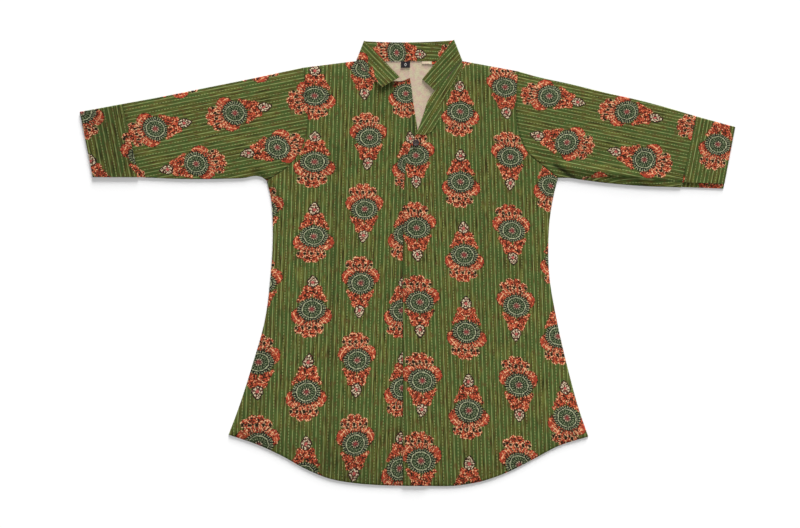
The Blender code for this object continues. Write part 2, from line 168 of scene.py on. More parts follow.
# Cloth
WALL = 1.2  # the CAD solids' wall on body and sleeves
GAP = 0.3
TOP = WALL + GAP + WALL  # height of the upper layer's outer face where nothing lifts it
CLOTH = 0.8  # the cotton as it is shown
CUFF_CLOTH = 1.4
COLLAR_CLOTH = 1.6
CUFF_RADIUS = 1.75  # outer radius of a cuff's pressed fold
SLEEVE_RADIUS = 1.35
COLLAR_RADIUS = 2.15
TURNINGS = 0.7
LABEL_CLOTH = 0.5
CLEAR = 0.15  # from a trim to the cloth that it lies on

# The upper layer's lift over the lower one
FULLNESS = 1.0
EDGE_FADE = 18.0
UNDULATION = 0.16

# How far the cloth curls down along its edges: depth and width
SIDE_CURL, HEM_CURL, ARMHOLE_CURL, WRIST_CURL = (1.2, 4.0), (1.0, 3.0), (0.9, 2.6), (0.7, 2.2)
LEFT_PLACKET_CURL, RIGHT_PLACKET_CURL = (0.5, 1.5), (0.4, 1.5)

# The outline
NECK_LEFT, NECK_RIGHT = (-85.0, 334.0), (91.0, 334.0)
BACK_NECK = 333.2
SHOULDER_LEFT, SHOULDER_RIGHT = (-173.0, 323.0), (183.0, 317.0)
UNDERARM_LEFT, UNDERARM_RIGHT = (-233.0, 136.0), (249.0, 141.0)
HEM_LEFT, HEM_RIGHT = (-296.0, -284.0), (299.0, -287.0)
HEM_MIDDLE = -368.6

ARMHOLE_LEFT = [
    SHOULDER_LEFT, (-168, 286), (-165, 245), (-168, 212), (-178, 184), (-198, 159), UNDERARM_LEFT,
]
ARMHOLE_RIGHT = [
    SHOULDER_RIGHT, (180, 278), (180, 240), (185, 212), (199, 182), (221, 163), UNDERARM_RIGHT,
]
SIDE_LEFT = [
    UNDERARM_LEFT, (-226, 108), (-223, 70), (-223, 30), (-226, -15), (-235, -90), (-257, -170),
    (-283, -250), HEM_LEFT,
]
SIDE_RIGHT = [
    UNDERARM_RIGHT, (243, 118), (235, 70), (233, 30), (234, -15), (246, -90), (264, -170),
    (286, -250), HEM_RIGHT,
]
HEM = [
    HEM_LEFT, (-247, -301), (-208, -319), (-168, -341), (-128, -357), (-89, -364), (-49, -367.3),
    (20, HEM_MIDDLE), (90, -367.3), (130, -359), (170, -344), (209, -324), (249, -303), HEM_RIGHT,
]

# The front opening
LAP_LEFT_EDGE = -7.4
LAP_RIGHT_EDGE = 20.0
LAP_MARGIN = 6.0
LAP_FADE = 14.0
LAP_RISE = 1.2
V_BOTTOM = 205.0
COLLAR_END_LEFT = (-42.0, 290.0)
PLACKET_TOP = (4.0, 306.0)
PLACKET_NECK_LEFT = [COLLAR_END_LEFT, (-36, 295.5), (-21, 301.0), (-12, 300.5), PLACKET_TOP]
PLACKET_LEFT = [
    PLACKET_TOP, (7, 286), (10, 262), (15.8, 225), (18.6, 200), (LAP_RIGHT_EDGE, 170), (LAP_RIGHT_EDGE, 60),
    (LAP_RIGHT_EDGE, -150), (LAP_RIGHT_EDGE, HEM_MIDDLE),
]
PLACKET_RIGHT = [
    NECK_RIGHT, (69, 308.5), (45.5, 284), (35.5, 270), (28, 248), (20.4, 226), (14, 212), (6, 195),
    (-1, 170), (-6, 111), (LAP_LEFT_EDGE, 20), (LAP_LEFT_EDGE, -180), (LAP_LEFT_EDGE, HEM_MIDDLE),
]
FACING_FOLD = [(90, 332.4), *PLACKET_RIGHT[1:6], (14.5, 213)]
FACING_FREE = [(93, 327), (74, 293), (62, 275), (55.5, 253), (49, 229), (39, 217), (27, 211.5)]
FACING_RISE = CLOTH + CLEAR
FACING_RADIUS = CLOTH + 0.1

# Sleeves, cuffs and collar
Sleeve = namedtuple("Sleeve", "side armhole top bottom")
Cuff = namedtuple("Cuff", "side seam_top seam_bottom edge_top edge_bottom under_reach")
Leaf = namedtuple("Leaf", "side seam_fold top_fold seam_end top_end rise droop")

SLEEVES = [
    Sleeve(
        "left", ARMHOLE_LEFT,
        top=[SHOULDER_LEFT, (-267, 303), (-327, 291), (-406, 275), (-471.5, 263)],
        bottom=[
            UNDERARM_LEFT, (-241, 142), (-252, 144), (-268, 141), (-300, 139.5), (-372, 139), (-444, 142),
        ],
    ),
    Sleeve(
        "right", ARMHOLE_RIGHT,
        top=[
            SHOULDER_RIGHT, (209, 309.5), (269, 296), (328, 281.5), (388, 268), (448, 251.5), (477.5, 242.5),
        ],
        bottom=[UNDERARM_RIGHT, (269, 140.5), (289, 137.5), (328, 132.5), (388, 127.5), (452.5, 125)],
    ),
]
CUFFS = [
    Cuff("left", (-471.5, 263), (-444, 142), (-542, 250), (-520.5, 142), under_reach=0.0),
    Cuff("right", (477.5, 242.5), (454.5, 133.5), (542, 225), (524, 131), under_reach=8.0),
]
LEAVES = [
    Leaf("left", NECK_LEFT, (-72, 367.5), COLLAR_END_LEFT, (-13, 307), rise=4.0, droop=0.0),
    Leaf("right", NECK_RIGHT, (77, 369), (45.5, 284.7), (24.5, 303.7), rise=0.6, droop=2.2),
]
BAND_SAG = 2.5
LEAF_RISE_FROM = 0.45
CUFF_GAP = 0.2
CUFF_CURL = 0.5
COLLAR_WIDTH = np.hypot(*np.subtract(LEAVES[0].top_fold, LEAVES[0].seam_fold))
COLLAR_GAP, COLLAR_STITCH = 0.45 / COLLAR_WIDTH, 2.2 / COLLAR_WIDTH  # shares of the width

# Steps round a sleeve's or cuff's fold, and along the collar
FOLD_STEPS = 6
LEAF_STEPS, BAND_STEPS, COLLAR_FOLD_STEPS = 30, 60, 10

# Trims and fastenings
HEM_DEPTH = 10.0
HEM_END = 8.0  # from the hem's corner to the first stitch
PLACKET_STITCH, FACING_STITCH = 3.0, 2.0
CUFF_STITCHES = (0.045, 0.955)  # shares of the cuff's width
LABEL_BOX = ((-10.8, 323.0), (4.2, 333.4))
LABEL_TOP = 2.3
BUTTON_AT = (13.8, 198.5)
BUTTON_BASE = 5.92
BUTTON_PROFILE = np.array([  # radius and height, from the middle of the top to that of the bottom
    (0.02, 1.35), (0.6, 1.35), (1.2, 1.35), (1.8, 1.36), (2.4, 1.38), (3.0, 1.44), (3.5, 1.62), (4.0, 1.88),
    (4.5, 2.0), (4.9, 1.94), (5.25, 1.7), (5.45, 1.3), (5.5, 0.9), (5.35, 0.45), (4.9, 0.12), (4.2, 0.0),
    (2.0, 0.0), (0.02, 0.0),
])
HOLE_AT = 1.3  # from the button's middle to a hole, along X and along Y
DENT_DEPTH, DENT_RADIUS = 0.9, 0.55
BAR_HEIGHT = 1.45  # of the thread, over the button's base

# Folds, drag lines and creases: soft ridges, or troughs where the height is below zero
Line = namedtuple("Line", "start end strength half_width")
RIDGES = [Line(*row) for row in (
    ((262, 158), (405, 139), 2.0, 9.0),  # right underarm drag
    ((232, 186), (330, 205), 1.0, 13.0),  # right armhole drag
    ((-245, 153), (-204, 104), 1.6, 8.0),  # left underarm pucker
    ((-222, 184), (-330, 196), 0.9, 13.0),  # left armhole drag
    ((-150, 40), (-196, -262), 0.9, 24.0),  # left flare
    ((-84, -120), (-96, -318), 0.7, 18.0),  # left hem wave
    ((92, -90), (112, -312), 0.8, 20.0),  # right hem wave
    ((172, 30), (222, -252), 0.9, 24.0),  # right flare
    ((-117, 187), (-132, -345), -0.8, 5.0),  # left front pressed crease
    ((123, 322), (122, -100), -0.45, 4.0),  # right front pressed crease
    ((248, 158), (277, 143), -1.6, 3.5),  # right armpit fold
    ((283, 141), (450, 133), -1.2, 3.0),  # right sleeve underfold
    ((-252, 150), (-221, 122), -0.7, 4.0),  # left armpit fold
    ((26, 196), (84, 178), 0.35, 6.0),  # pull from the button, right
    ((-10, 200), (-58, 186), 0.35, 7.0),  # pull from the button, left
    ((196, 296), (262, 262), 0.45, 9.0),  # right shoulder drag
    ((-188, 300), (-262, 268), 0.4, 9.0),  # left shoulder drag
    ((-352, 262), (-340, 176), 0.35, 7.0),  # left elbow crease
    ((338, 240), (352, 168), 0.35, 8.0),  # right elbow crease
    ((-206, 40), (-150, 22), 0.35, 8.0),  # left waist crease
    ((214, 18), (160, 2), 0.3, 9.0),  # right waist crease
)]
LAPEL_ROLL = Line((38, 262), (16, 216), 1.2, 10.0)

# Painted shade in creases, along seams, under the leaf and over broad areas: share of the colour taken at the middle
SHADES = [Line(*row) for row in (
    ((-117, 187), (-132, -345), 0.20, 6.0),  # left front pressed crease
    ((-9, 168), (-9, -362), 0.14, 5.0),  # edge of the lap
    ((-232, -110), (-262, -290), 0.12, 30.0),  # left side
    (NECK_LEFT, SHOULDER_LEFT, 0.28, 1.6),  # left shoulder seam
    (NECK_RIGHT, SHOULDER_RIGHT, 0.32, 1.6),  # right shoulder seam
    ((123, 322), (122, -100), 0.10, 4.0),  # right front pressed crease
    ((243, 161.5), (275, 141.5), 0.72, 3.1),  # right armpit
    ((279, 140), (310, 140.5), 0.40, 1.8),  # right sleeve underfold
    ((315, 141), (352, 141.4), 0.26, 1.6),  # right sleeve underfold, middle
    ((357, 141), (400, 136.4), 0.34, 1.5),  # right sleeve underfold, slope
    ((405, 135.8), (470, 134), 0.50, 1.3),  # right sleeve underfold, far end
    ((262, 144), (310, 131), 0.28, 4.5),  # strip under the right sleeve
    ((318, 134), (446, 127), 0.24, 5.0),  # strip under the right sleeve, far end
    ((-250, 152), (-212, 112), 0.26, 6.0),  # left underarm pucker
    ((6.5, 258), (12, 212), 0.60, 2.2),  # fold of the left placket
    ((1.5, 244), (6.5, 212), 0.40, 1.8),  # second fold of the left placket
    ((-16, 301), (3, 304), 0.45, 4.0),  # top of the left placket
    ((-44, 288), (-16, 300), 0.45, 7.0),  # under the left leaf
    ((-500, 240), (-485, 135), 0.30, 42.0),  # left cuff
    ((-205, -300), (-60, -350), 0.12, 30.0),  # left hem
    ((-90, -310), (90, -320), 0.09, 65.0),  # hem
)]
# Painted shade along both armhole seams, and the most of the colour that painted shade may take
SEAM_SHADE = 0.30
SEAM_SHADE_WIDTH = 1.6
DARKEST_SHADE = 0.75

# The print's repeat on the cloth
COLUMN = 81.0  # from one column of medallions to the next
ROW = 131.0  # from one medallion to the next in a column
DROP = 46.0  # odd columns stand this much lower, and upside down
PLAIN_FROM = 2500.0  # cloth past this u has stripes and no medallions
SLIP_REACH, SLIP_FADE = 42.0, 0.1
NECK_SEAM_PRINT = (-50.0, -358.0)
MOTTLED_EDGE = 3.4  # how far the noise in the print pushes its shapes
PLAIN_CROWDING = 1.12  # how much closer the stripes stand on plain cloth
FACING_STRIPES, LEAF_STRIPES = (0.535, 0.845), (0.678, 0.735)  # directions

# The middle of each medallion that shows on a piece, by column: the first one's row, and the middles down
# from there
FRONT_LEFT_PRINT = {
    -4: (-1, [(-241, 88), (-243, -33), (-246, -164), (-246, -301)]),
    -3: (1, [(-154, 276), (-154, 167.5), (-155, 44), (-158, -76), (-168, -213.5), (-172, -350.5)]),
    -2: (1, [(-70, 322), (-61.5, 208), (-70, 89), (-77, -33), (-83.5, -160.5), (-86, -299.5)]),
    -1: (1, [(-4, 280), (4, 163), (-3, 48), (-10, -79), (-8, -207), (-13, -339)]),
}
FRONT_RIGHT_PRINT = {
    0: (0, [(14, 178), (15, 58), (20.5, -64.5), (25, -194.5), (22.5, -327)]),
    1: (2, [(86, 361), (87, 250), (87, 134), (93.5, 13), (97, -114), (101, -244), (101.5, -384.5)]),
    2: (1, [(161.5, 291), (171, 175.5), (173, 53.5), (181, -71), (184.5, -202), (185, -333.5)]),
    3: (0, [(236, 127.5), (250, 2), (248, -121), (264, -256.5)]),
}
# Along this line the cloth of the right sleeve turns back, so that what lies below it runs the other way
UNDERFOLD = [
    (180, 90), (277, 131), (297, 138.5), (322, 141), (350, 141.5), (380, 139.5), (405, 136), (430, 134.5),
    (480, 133.5),
]
UNDERFOLD_FADE = 0.8
BETWEEN_COLUMNS = -1.5 * COLUMN - 6.0  # where the strip below it lies, across
SLEEVE_PRINTS = {
    "left": {0: (0, [(-417, 222), (-285.5, 248)]), -1: (0, [(-349.5, 164), (-215, 191)])},
    "right": {
        0: (0, [(234, 273), (362, 247.5), (492, 222)]),
        -1: (0, [(265, 194), (392, 166.5)]),
        -2: (-1, [(324, 121)]),
    },
}
CUFF_PRINTS = {
    "left": {-1: (0, [(-540, 249), (-516, 124)]), 0: (0, [(-460, 304)])},
    "right": {-1: (0, [(513, 196), (490.5, 79)]), -2: (0, [(449, 250)])},
}
LEAF_PRINT = {0: (0, [(-83, 317), (-0.5, 232.5)]), -1: (0, [(-106.5, 236.5)])}
BAND_PRINT = {0: (0, [(-18, 348), (89, 341)]), -1: (0, [(21, 272)])}
BACK_PRINT = {0: (0, [(12, 300), (12, 180)]), 1: (0, [(88, 258)])}

# The studio
LIGHT = 0.97  # light that falls on level cloth, against a white that just shows as white
SKY = 0.22
FLOOR_HALF, FLOOR_DEPTH, FLOOR_WHITE = 20000.0, 0.05, 0.92
CAMERA_AT = (-12.4, -1.7, 3200.0)
FRAME_WIDTH = 1324.0
SENSOR = 36.0


# Curves, as arrays with a row (x, y) for each point

def lengths_along(points):
    """Distance from the first point to each point of a polyline."""
    steps = np.linalg.norm(np.diff(points, axis=0), axis=1)
    return np.concatenate([[0.0], np.cumsum(steps)])


def read(line, marks, at):
    """Points of a polyline at values between the marks of its own points."""
    return np.stack([np.interp(at, marks, line[:, axis]) for axis in range(line.shape[1])], axis=-1)


def resampled(points, steps):
    """The same polyline with equal steps."""
    far = lengths_along(points)
    return read(points, far, np.linspace(0.0, far[-1], steps + 1))


def smooth(points, steps):
    """Smooth curve through points, in equal steps: cubic Hermite pieces over the chord length."""
    points = np.array(points, float)
    far = lengths_along(points)
    slopes = np.gradient(points, far, axis=0)
    t = np.linspace(0.0, 1.0, 24, endpoint=False)[:, None]
    pieces = [
        (1 + 2 * t) * (1 - t) ** 2 * points[k]
        + t * (1 - t) ** 2 * (far[k + 1] - far[k]) * slopes[k]
        + t * t * (3 - 2 * t) * points[k + 1]
        + t * t * (t - 1) * (far[k + 1] - far[k]) * slopes[k + 1]
        for k in range(len(points) - 1)
    ]
    return resampled(np.concatenate(pieces + [points[-1:]]), steps)


def straight(start, end, steps):
    return np.linspace(start, end, steps + 1)


def joined(*curves):
    """Curves end to end, each shared corner kept once."""
    return np.concatenate([curves[0]] + [curve[1:] for curve in curves[1:]])


def unit(vectors):
    return vectors / np.maximum(np.linalg.norm(vectors, axis=-1, keepdims=True), 1e-9)


def patch(top, bottom, left, right, across, down):
    """Grid between four curves that share corners (a Coons patch), at shares across and down it."""
    ends = [read(curve, np.linspace(0.0, 1.0, len(curve)), across) for curve in (top, bottom)]
    sides = [read(curve, np.linspace(0.0, 1.0, len(curve)), down)[:, None] for curve in (left, right)]
    u, v = across[None, :, None], down[:, None, None]
    rows = (1 - v) * ends[0] + v * ends[1]
    columns = (1 - u) * sides[0] + u * sides[1]
    corners = (1 - v) * ((1 - u) * top[0] + u * top[-1]) + v * ((1 - u) * bottom[0] + u * bottom[-1])
    return rows + columns - corners


def crowded(steps, crowding=0.45):
    """Shares from 0 to 1 that stand closer together at both ends: t less a sine wave of t."""
    t = np.linspace(0.0, 1.0, steps + 1)
    return t - crowding * np.sin(2 * np.pi * t) / (2 * np.pi)


def smoothstep(t):
    t = np.clip(t, 0.0, 1.0)
    return t * t * (3 - 2 * t)


# Heights over the plan, an array of points (x, y)

def distance_to(plan, curve):
    """Distance from each point to the nearest part of a polyline."""
    x, y = plan[..., 0], plan[..., 1]
    away = np.full(x.shape, np.inf)
    for (ax, ay), (bx, by) in zip(curve[:-1], curve[1:]):
        dx, dy = bx - ax, by - ay
        t = np.clip(((x - ax) * dx + (y - ay) * dy) / (dx * dx + dy * dy), 0.0, 1.0)
        away = np.minimum(away, np.hypot(x - ax - t * dx, y - ay - t * dy))
    return away


def outer_edges():
    """The tunic's outer edge: shoulders, sides, hem, and each sleeve with its cuff."""
    edges = [[NECK_LEFT, SHOULDER_LEFT], [SHOULDER_RIGHT, NECK_RIGHT], smooth(HEM, 40)]
    for side, sleeve, cuff in zip((SIDE_LEFT, SIDE_RIGHT), SLEEVES, CUFFS):
        edges += [smooth(side, 22), smooth(sleeve.top, 18), smooth(sleeve.bottom, 18)]
        edges.append([cuff.seam_top, cuff.edge_top, cuff.edge_bottom, cuff.seam_bottom])
    return edges


EDGES = outer_edges()


def bell(plan, curve, half_width):
    """1 on a polyline and less the further from it: exp(-(distance / half width) squared)."""
    return np.exp(-((distance_to(plan, curve) / half_width) ** 2))


def summed(lines, plan):
    """The sum of straight lines' bells, each with its own strength and half width."""
    return sum(line.strength * bell(plan, [line.start, line.end], line.half_width) for line in lines)


def undulation(plan):
    """Very low waves in three directions, so that no stretch of cloth is quite flat."""
    x, y = plan[..., 0], plan[..., 1]
    return UNDULATION * (
        np.sin(x / 19.0 + 0.8 * np.sin(y / 61.0))
        + np.sin(y / 31.0 + 1.1 * np.sin(x / 47.0) + 1.3)
        + np.sin((x + y) / 41.0 + 2.1)
    )


def lift(plan):
    """How far the upper layer stands off the lower one, beyond GAP."""
    inside = np.min([distance_to(plan, edge) for edge in EDGES], axis=0)
    height = FULLNESS + summed(RIDGES, plan) + undulation(plan)
    return height * smoothstep(inside / EDGE_FADE)


def shade_at(plan):
    """Share of the colour taken by painted shade: the lines of SHADES, and painted shade along the armhole seams."""
    shade = summed(SHADES, plan)
    for armhole in (ARMHOLE_LEFT, ARMHOLE_RIGHT):
        shade = shade + SEAM_SHADE * bell(plan, smooth(armhole, 40), SEAM_SHADE_WIDTH)
    return np.minimum(shade, DARKEST_SHADE)


def lap_rise(plan):
    """1 where the right front lies on the left one, and 0 clear of it."""
    placket = smooth(PLACKET_LEFT, 36)
    under_edge = np.interp(-plan[..., 1], -placket[:, 1], placket[:, 0])
    return 1 - smoothstep((plan[..., 0] - under_edge - LAP_MARGIN) / LAP_FADE)


def rolled(plan, edges):
    """How far cloth curls down at its edges; a row of edges is (curve, curl), a quarter round."""
    drop = np.zeros(plan.shape[:-1])
    for curve, (depth, width) in edges:
        near = np.clip(1 - distance_to(plan, curve) / width, 0.0, 1.0)
        drop = np.maximum(drop, depth * (1 - np.sqrt(1 - near * near)))
    return drop


def front_top(plan, side, armhole, shoulder, opening):
    """Height of a front's outer face; opening has the rolled edges of its neck and placket."""
    return TOP + lift(plan) - rolled(plan, [
        (smooth(side, 40), SIDE_CURL), (smooth(HEM, 60), HEM_CURL), (shoulder, SIDE_CURL),
        (smooth(armhole, 40), ARMHOLE_CURL), *opening,
    ])


def left_front_top(plan):
    opening = [(smooth(*edge), LEFT_PLACKET_CURL) for edge in ((PLACKET_NECK_LEFT, 16), (PLACKET_LEFT, 60))]
    return front_top(plan, SIDE_LEFT, ARMHOLE_LEFT, [NECK_LEFT, SHOULDER_LEFT], opening)


def right_front_top(plan):
    opening = [(smooth(PLACKET_RIGHT, 80), RIGHT_PLACKET_CURL)]
    top = front_top(plan, SIDE_RIGHT, ARMHOLE_RIGHT, [NECK_RIGHT, SHOULDER_RIGHT], opening)
    return top + LAP_RISE * lap_rise(plan) + summed([LAPEL_ROLL], plan)


def raised(plan, height):
    """Plan points with their heights: one number, or one for each point."""
    z = np.full(plan.shape[:-1], height)
    return np.concatenate([plan, z[..., None]], axis=-1)


# The cloth's own coordinates

def powers(plan, degree):
    """Products of powers of x and y, up to a degree, with x and y in parts of 300 mm."""
    x, y = plan[..., 0] / 300, plan[..., 1] / 300
    return np.stack([x**i * y**j for i in range(degree + 1) for j in range(degree + 1 - i)], axis=-1)


def printed(plan, medallions, degree=1):
    """Place on the cloth of each plan point: across, along, and across the stripes.

    A smooth map, fitted by least squares, puts the medallions as near their middles as it can. What each one
    is still off by is added round it: a mean of those slips, weighted by a bell of the distance from each
    middle. The stripes follow a linear map with the same goals and no slips.
    """
    places, goals = [], []
    for column, (first_row, middles) in medallions.items():
        for step, middle in enumerate(middles):
            places.append(middle)
            goals.append((column * COLUMN, (first_row - step) * ROW - (column % 2) * DROP))
    places, goals = np.array(places, float), np.array(goals)
    fit = np.linalg.lstsq(powers(places, degree), goals, rcond=None)[0]
    slips = goals - powers(places, degree) @ fit
    weights = np.exp(-((np.linalg.norm(plan[..., None, :] - places, axis=-1) / SLIP_REACH) ** 2))
    place = powers(plan, degree) @ fit + weights @ slips / (weights.sum(axis=-1, keepdims=True) + SLIP_FADE)
    even = powers(plan, 1) @ np.linalg.lstsq(powers(places, 1), goals, rcond=None)[0]
    return np.concatenate([place, even[..., :1]], axis=-1)


def turned_back(plan, medallions, fold):
    """Place as printed() gives it, on cloth that turns back below a fold line.

    There the stripes run as in a mirror, and the strip next to the line lies between two columns.
    """
    line = smooth(fold, 80)
    below = np.interp(plan[..., 0], line[:, 0], line[:, 1]) - plan[..., 1]
    rise = 2 * np.maximum(below, 0)
    place = printed(plan + np.stack([0 * rise, rise], axis=-1), medallions)
    place[..., 0] += smoothstep(below / UNDERFOLD_FADE) * (BETWEEN_COLUMNS + below - place[..., 0])
    return place


def striped(plan, origin, along):
    """Place on plain striped cloth whose stripes run in a direction of the plan, as printed() gives it."""
    along = unit(np.array(along))
    off = plan - np.array(origin, float)
    across = np.array([along[1], -along[0]])
    return np.stack([off @ across + 2 * PLAIN_FROM, off @ along, off @ across * PLAIN_CROWDING], axis=-1)


# Meshes

def normals_of(points, closed):
    """Unit normals of a grid of points, from the cross product of its two directions."""
    if closed:
        across = np.roll(points, -1, axis=1) - np.roll(points, 1, axis=1)
    else:
        across = np.gradient(points, axis=1)
    return unit(np.cross(np.gradient(points, axis=0), across))


def quads(index):
    """Quads over a grid of point numbers, as an array of four corners a row."""
    return np.stack([index[:-1, :-1], index[1:, :-1], index[1:, 1:], index[:-1, 1:]], axis=-1).reshape(-1, 4)


def add_mesh(name, points, faces, materials, places=None, tiers=None, crease_angle=50.0):
    """A mesh object, with the place on the cloth of each face corner, and each face's material number."""
    mesh = bpy.data.meshes.new(name)
    mesh.from_pydata((points * MM).tolist(), [], [list(face) for face in faces])
    for uv_map, columns in (("cloth", [0, 1]), ("stripes", [2, 1])):
        if places is not None and places.shape[-1] > max(columns):
            layer = mesh.uv_layers.new(name=uv_map)
            layer.data.foreach_set("uv", places[..., columns].reshape(-1).astype(np.float32))
    for material in materials:
        mesh.materials.append(material)
    if tiers is not None:
        mesh.polygons.foreach_set("material_index", tiers.astype(np.int32))
    mesh.shade_smooth()
    mesh.set_sharp_from_angle(angle=np.radians(crease_angle))
    made = bpy.data.objects.new(name, mesh)
    bpy.context.scene.collection.objects.link(made)
    return made


def add_shell(name, outer, thickness, cloth, materials, inner_cloth=None, closed=False, shade=None):
    """A closed wall of cloth: outer points in a grid, inner ones a thickness below, and open edges joined.

    cloth has each point's place on the cloth, with one more column where the grid is closed. shade, where given, is
    each point's painted shade, kept as a point attribute.
    """
    inner = outer - thickness * normals_of(outer, closed)
    index = np.arange(outer[..., 0].size).reshape(outer.shape[:2])
    below = index.size
    if closed:
        index = np.concatenate([index, index[:, :1]], axis=1)
    corner = np.arange(index.size).reshape(index.shape)
    place = cloth.reshape(-1, cloth.shape[-1])
    inner_place = place if inner_cloth is None else inner_cloth.reshape(place.shape)
    faces = [quads(index), quads(index)[:, ::-1] + below]
    places = [place[quads(corner)], inner_place[quads(corner)[:, ::-1]]]
    borders = [(index[0], corner[0]), (index[-1, ::-1], corner[-1, ::-1])]
    if not closed:
        borders += [(index[::-1, 0], corner[::-1, 0]), (index[:, -1], corner[:, -1])]
    for line, at in borders:
        faces.append(np.stack([line[:-1], line[1:], line[1:] + below, line[:-1] + below], axis=-1))
        places.append(place[np.stack([at[:-1], at[1:], at[1:], at[:-1]], axis=-1)])
    wrong_side = len(materials) - 1
    tiers = np.concatenate([np.full(len(part), wrong_side * (k == 1)) for k, part in enumerate(faces)])
    points = np.concatenate([outer.reshape(-1, 3), inner.reshape(-1, 3)])
    made = add_mesh(name, points, np.concatenate(faces), materials, np.concatenate(places), tiers)
    # Painted shade: each point's share of darkening, which the cotton material takes off its colour
    if shade is not None:
        layer = made.data.attributes.new("painted_shade", "FLOAT", "POINT")
        layer.data.foreach_set("value", np.tile(shade.reshape(-1), 2).astype(np.float32))
    return made


# Panels

FRONT_GRID = crowded(110), crowded(200)
BACK_GRID = crowded(110), crowded(130)
SLEEVE_GRID = crowded(56, 0.6), crowded(90, 0.3)
FLANK_LEFT = joined(smooth(ARMHOLE_LEFT, 140), smooth(SIDE_LEFT, 220))
FLANK_RIGHT = joined(smooth(ARMHOLE_RIGHT, 140), smooth(SIDE_RIGHT, 220))


def hem_between(start_x, end_x, steps):
    hem = smooth(HEM, 160)
    x = np.linspace(start_x, end_x, steps + 1)
    return np.stack([x, np.interp(x, hem[:, 0], hem[:, 1])], axis=1)


def make_back(materials):
    """The back, as one patch: neck and shoulders, hem, and armhole and side on either hand."""
    neck = (NECK_LEFT[0] + 3, BACK_NECK), (NECK_RIGHT[0] - 3, BACK_NECK)
    top = joined(
        straight(SHOULDER_LEFT, NECK_LEFT, 50), straight(NECK_LEFT, neck[0], 5), straight(*neck, 90),
        straight(neck[1], NECK_RIGHT, 5), straight(NECK_RIGHT, SHOULDER_RIGHT, 50),
    )
    plan = patch(top, smooth(HEM, 200), FLANK_LEFT, FLANK_RIGHT, *BACK_GRID)[:, ::-1]
    return add_shell("back_panel", raised(plan, 0.0), CLOTH, printed(plan, BACK_PRINT), materials)


def make_front(name, plan, top, medallions, materials):
    return add_shell(
        name, raised(plan, top(plan)), CLOTH, printed(plan, medallions, 2), materials, shade=shade_at(plan)
    )


def make_left_front(materials):
    """The left front: shoulder, neck and placket top; hem; armhole and side; placket."""
    top = joined(
        straight(SHOULDER_LEFT, NECK_LEFT, 50), straight(NECK_LEFT, COLLAR_END_LEFT, 50),
        smooth(PLACKET_NECK_LEFT, 100),
    )
    bottom = hem_between(HEM_LEFT[0], LAP_RIGHT_EDGE, 200)
    plan = patch(top, bottom, FLANK_LEFT, smooth(PLACKET_LEFT, 360), *FRONT_GRID)
    return make_front("left_front_panel", plan, left_front_top, FRONT_LEFT_PRINT, materials)


def make_right_front(materials):
    """The right front: shoulder; hem; neck and placket; armhole and side."""
    top = straight(NECK_RIGHT, SHOULDER_RIGHT, 200)
    bottom = hem_between(LAP_LEFT_EDGE, HEM_RIGHT[0], 200)
    plan = patch(top, bottom, smooth(PLACKET_RIGHT, 360), FLANK_RIGHT, *FRONT_GRID)
    return make_front("right_front_panel", plan, right_front_top, FRONT_RIGHT_PRINT, materials)


def make_facing(materials):
    """The turned-out facing: it comes up round the right front's edge and lies on it."""
    fold, free = smooth(FACING_FOLD, 90)[:, None], smooth(FACING_FREE, 90)[:, None]
    across = np.linspace(0.0, 1.0, 15)[None, :, None]
    plan = (1 - across) * fold + across * free
    flat = raised(plan, right_front_top(plan) + FACING_RISE)
    angles = np.linspace(-np.pi / 2, np.pi / 2, 7)[:-1][None, :, None]
    curl = np.concatenate([
        fold + FACING_RADIUS * np.cos(angles) * unit(fold - free),
        flat[:, :1, 2:] - FACING_RADIUS * (1 - np.sin(angles)),
    ], axis=-1)
    points = np.concatenate([curl, flat], axis=1)
    place = striped(points[..., :2], FACING_FOLD[-1], FACING_STRIPES)
    return add_shell("placket_facing_turned_out", points, CLOTH, place, materials)


# Pressed tubes and bands

def fold_arc(middle, outward, radius, steps):
    """Points round a pressed fold, from its lower layer up to its upper one, without the two ends."""
    angles = np.linspace(-np.pi / 2, np.pi / 2, steps + 1)[1:-1, None]
    plan = middle + radius * np.cos(angles) * outward
    return np.concatenate([plan, radius * (1 + np.sin(angles))], axis=1)


def moved_in(line, distance):
    """A polyline cut short by distance at its first point, and the way out past that end."""
    outward = unit(line[0] - line[1])
    return np.concatenate([[line[0] - distance * outward], line[1:]]), outward


def unfolded(points, edge):
    """Plan points of a lower layer, turned out past the fold at edge."""
    return 2 * edge - points


def make_sleeve(sleeve, materials):
    """A tube pressed flat, ring by ring from the armhole to the cuff seam, folded at its top and bottom."""
    armhole, top, bottom = smooth(sleeve.armhole, 140), smooth(sleeve.top, 180), smooth(sleeve.bottom, 180)
    seam = straight(top[-1], bottom[-1], 140)
    seams = [(armhole, ARMHOLE_CURL), (seam, WRIST_CURL)]
    rings, places = [], []
    for line in patch(armhole, seam, top, bottom, *SLEEVE_GRID):
        edge = line[0]
        line, first_out = moved_in(line, SLEEVE_RADIUS)
        line, last_out = moved_in(line[::-1], SLEEVE_RADIUS)
        line = line[::-1]
        upper, lower = raised(line, TOP + lift(line) - rolled(line, seams)), raised(line[::-1], 0.0)
        last_fold = fold_arc(line[-1], last_out, SLEEVE_RADIUS, FOLD_STEPS)[::-1]
        first_fold = fold_arc(line[0], first_out, SLEEVE_RADIUS, FOLD_STEPS)
        rings.append(np.concatenate([upper, last_fold, lower, first_fold]))
        places.append(np.concatenate([
            line, last_fold[:, :2], unfolded(line[::-1], edge), first_fold[:, :2], line[:1],
        ]))
    rings, places, prints = np.array(rings), np.array(places), SLEEVE_PRINTS[sleeve.side]
    if sleeve.side == "left":
        place = printed(places, prints)
    else:
        rings, place = rings[:, ::-1], turned_back(places, prints, UNDERFOLD)[:, ::-1]
    name, shade = "sleeve_" + sleeve.side + "_cloth", shade_at(rings[..., :2])
    return add_shell(name, rings, CLOTH, place, materials, closed=True, shade=shade)


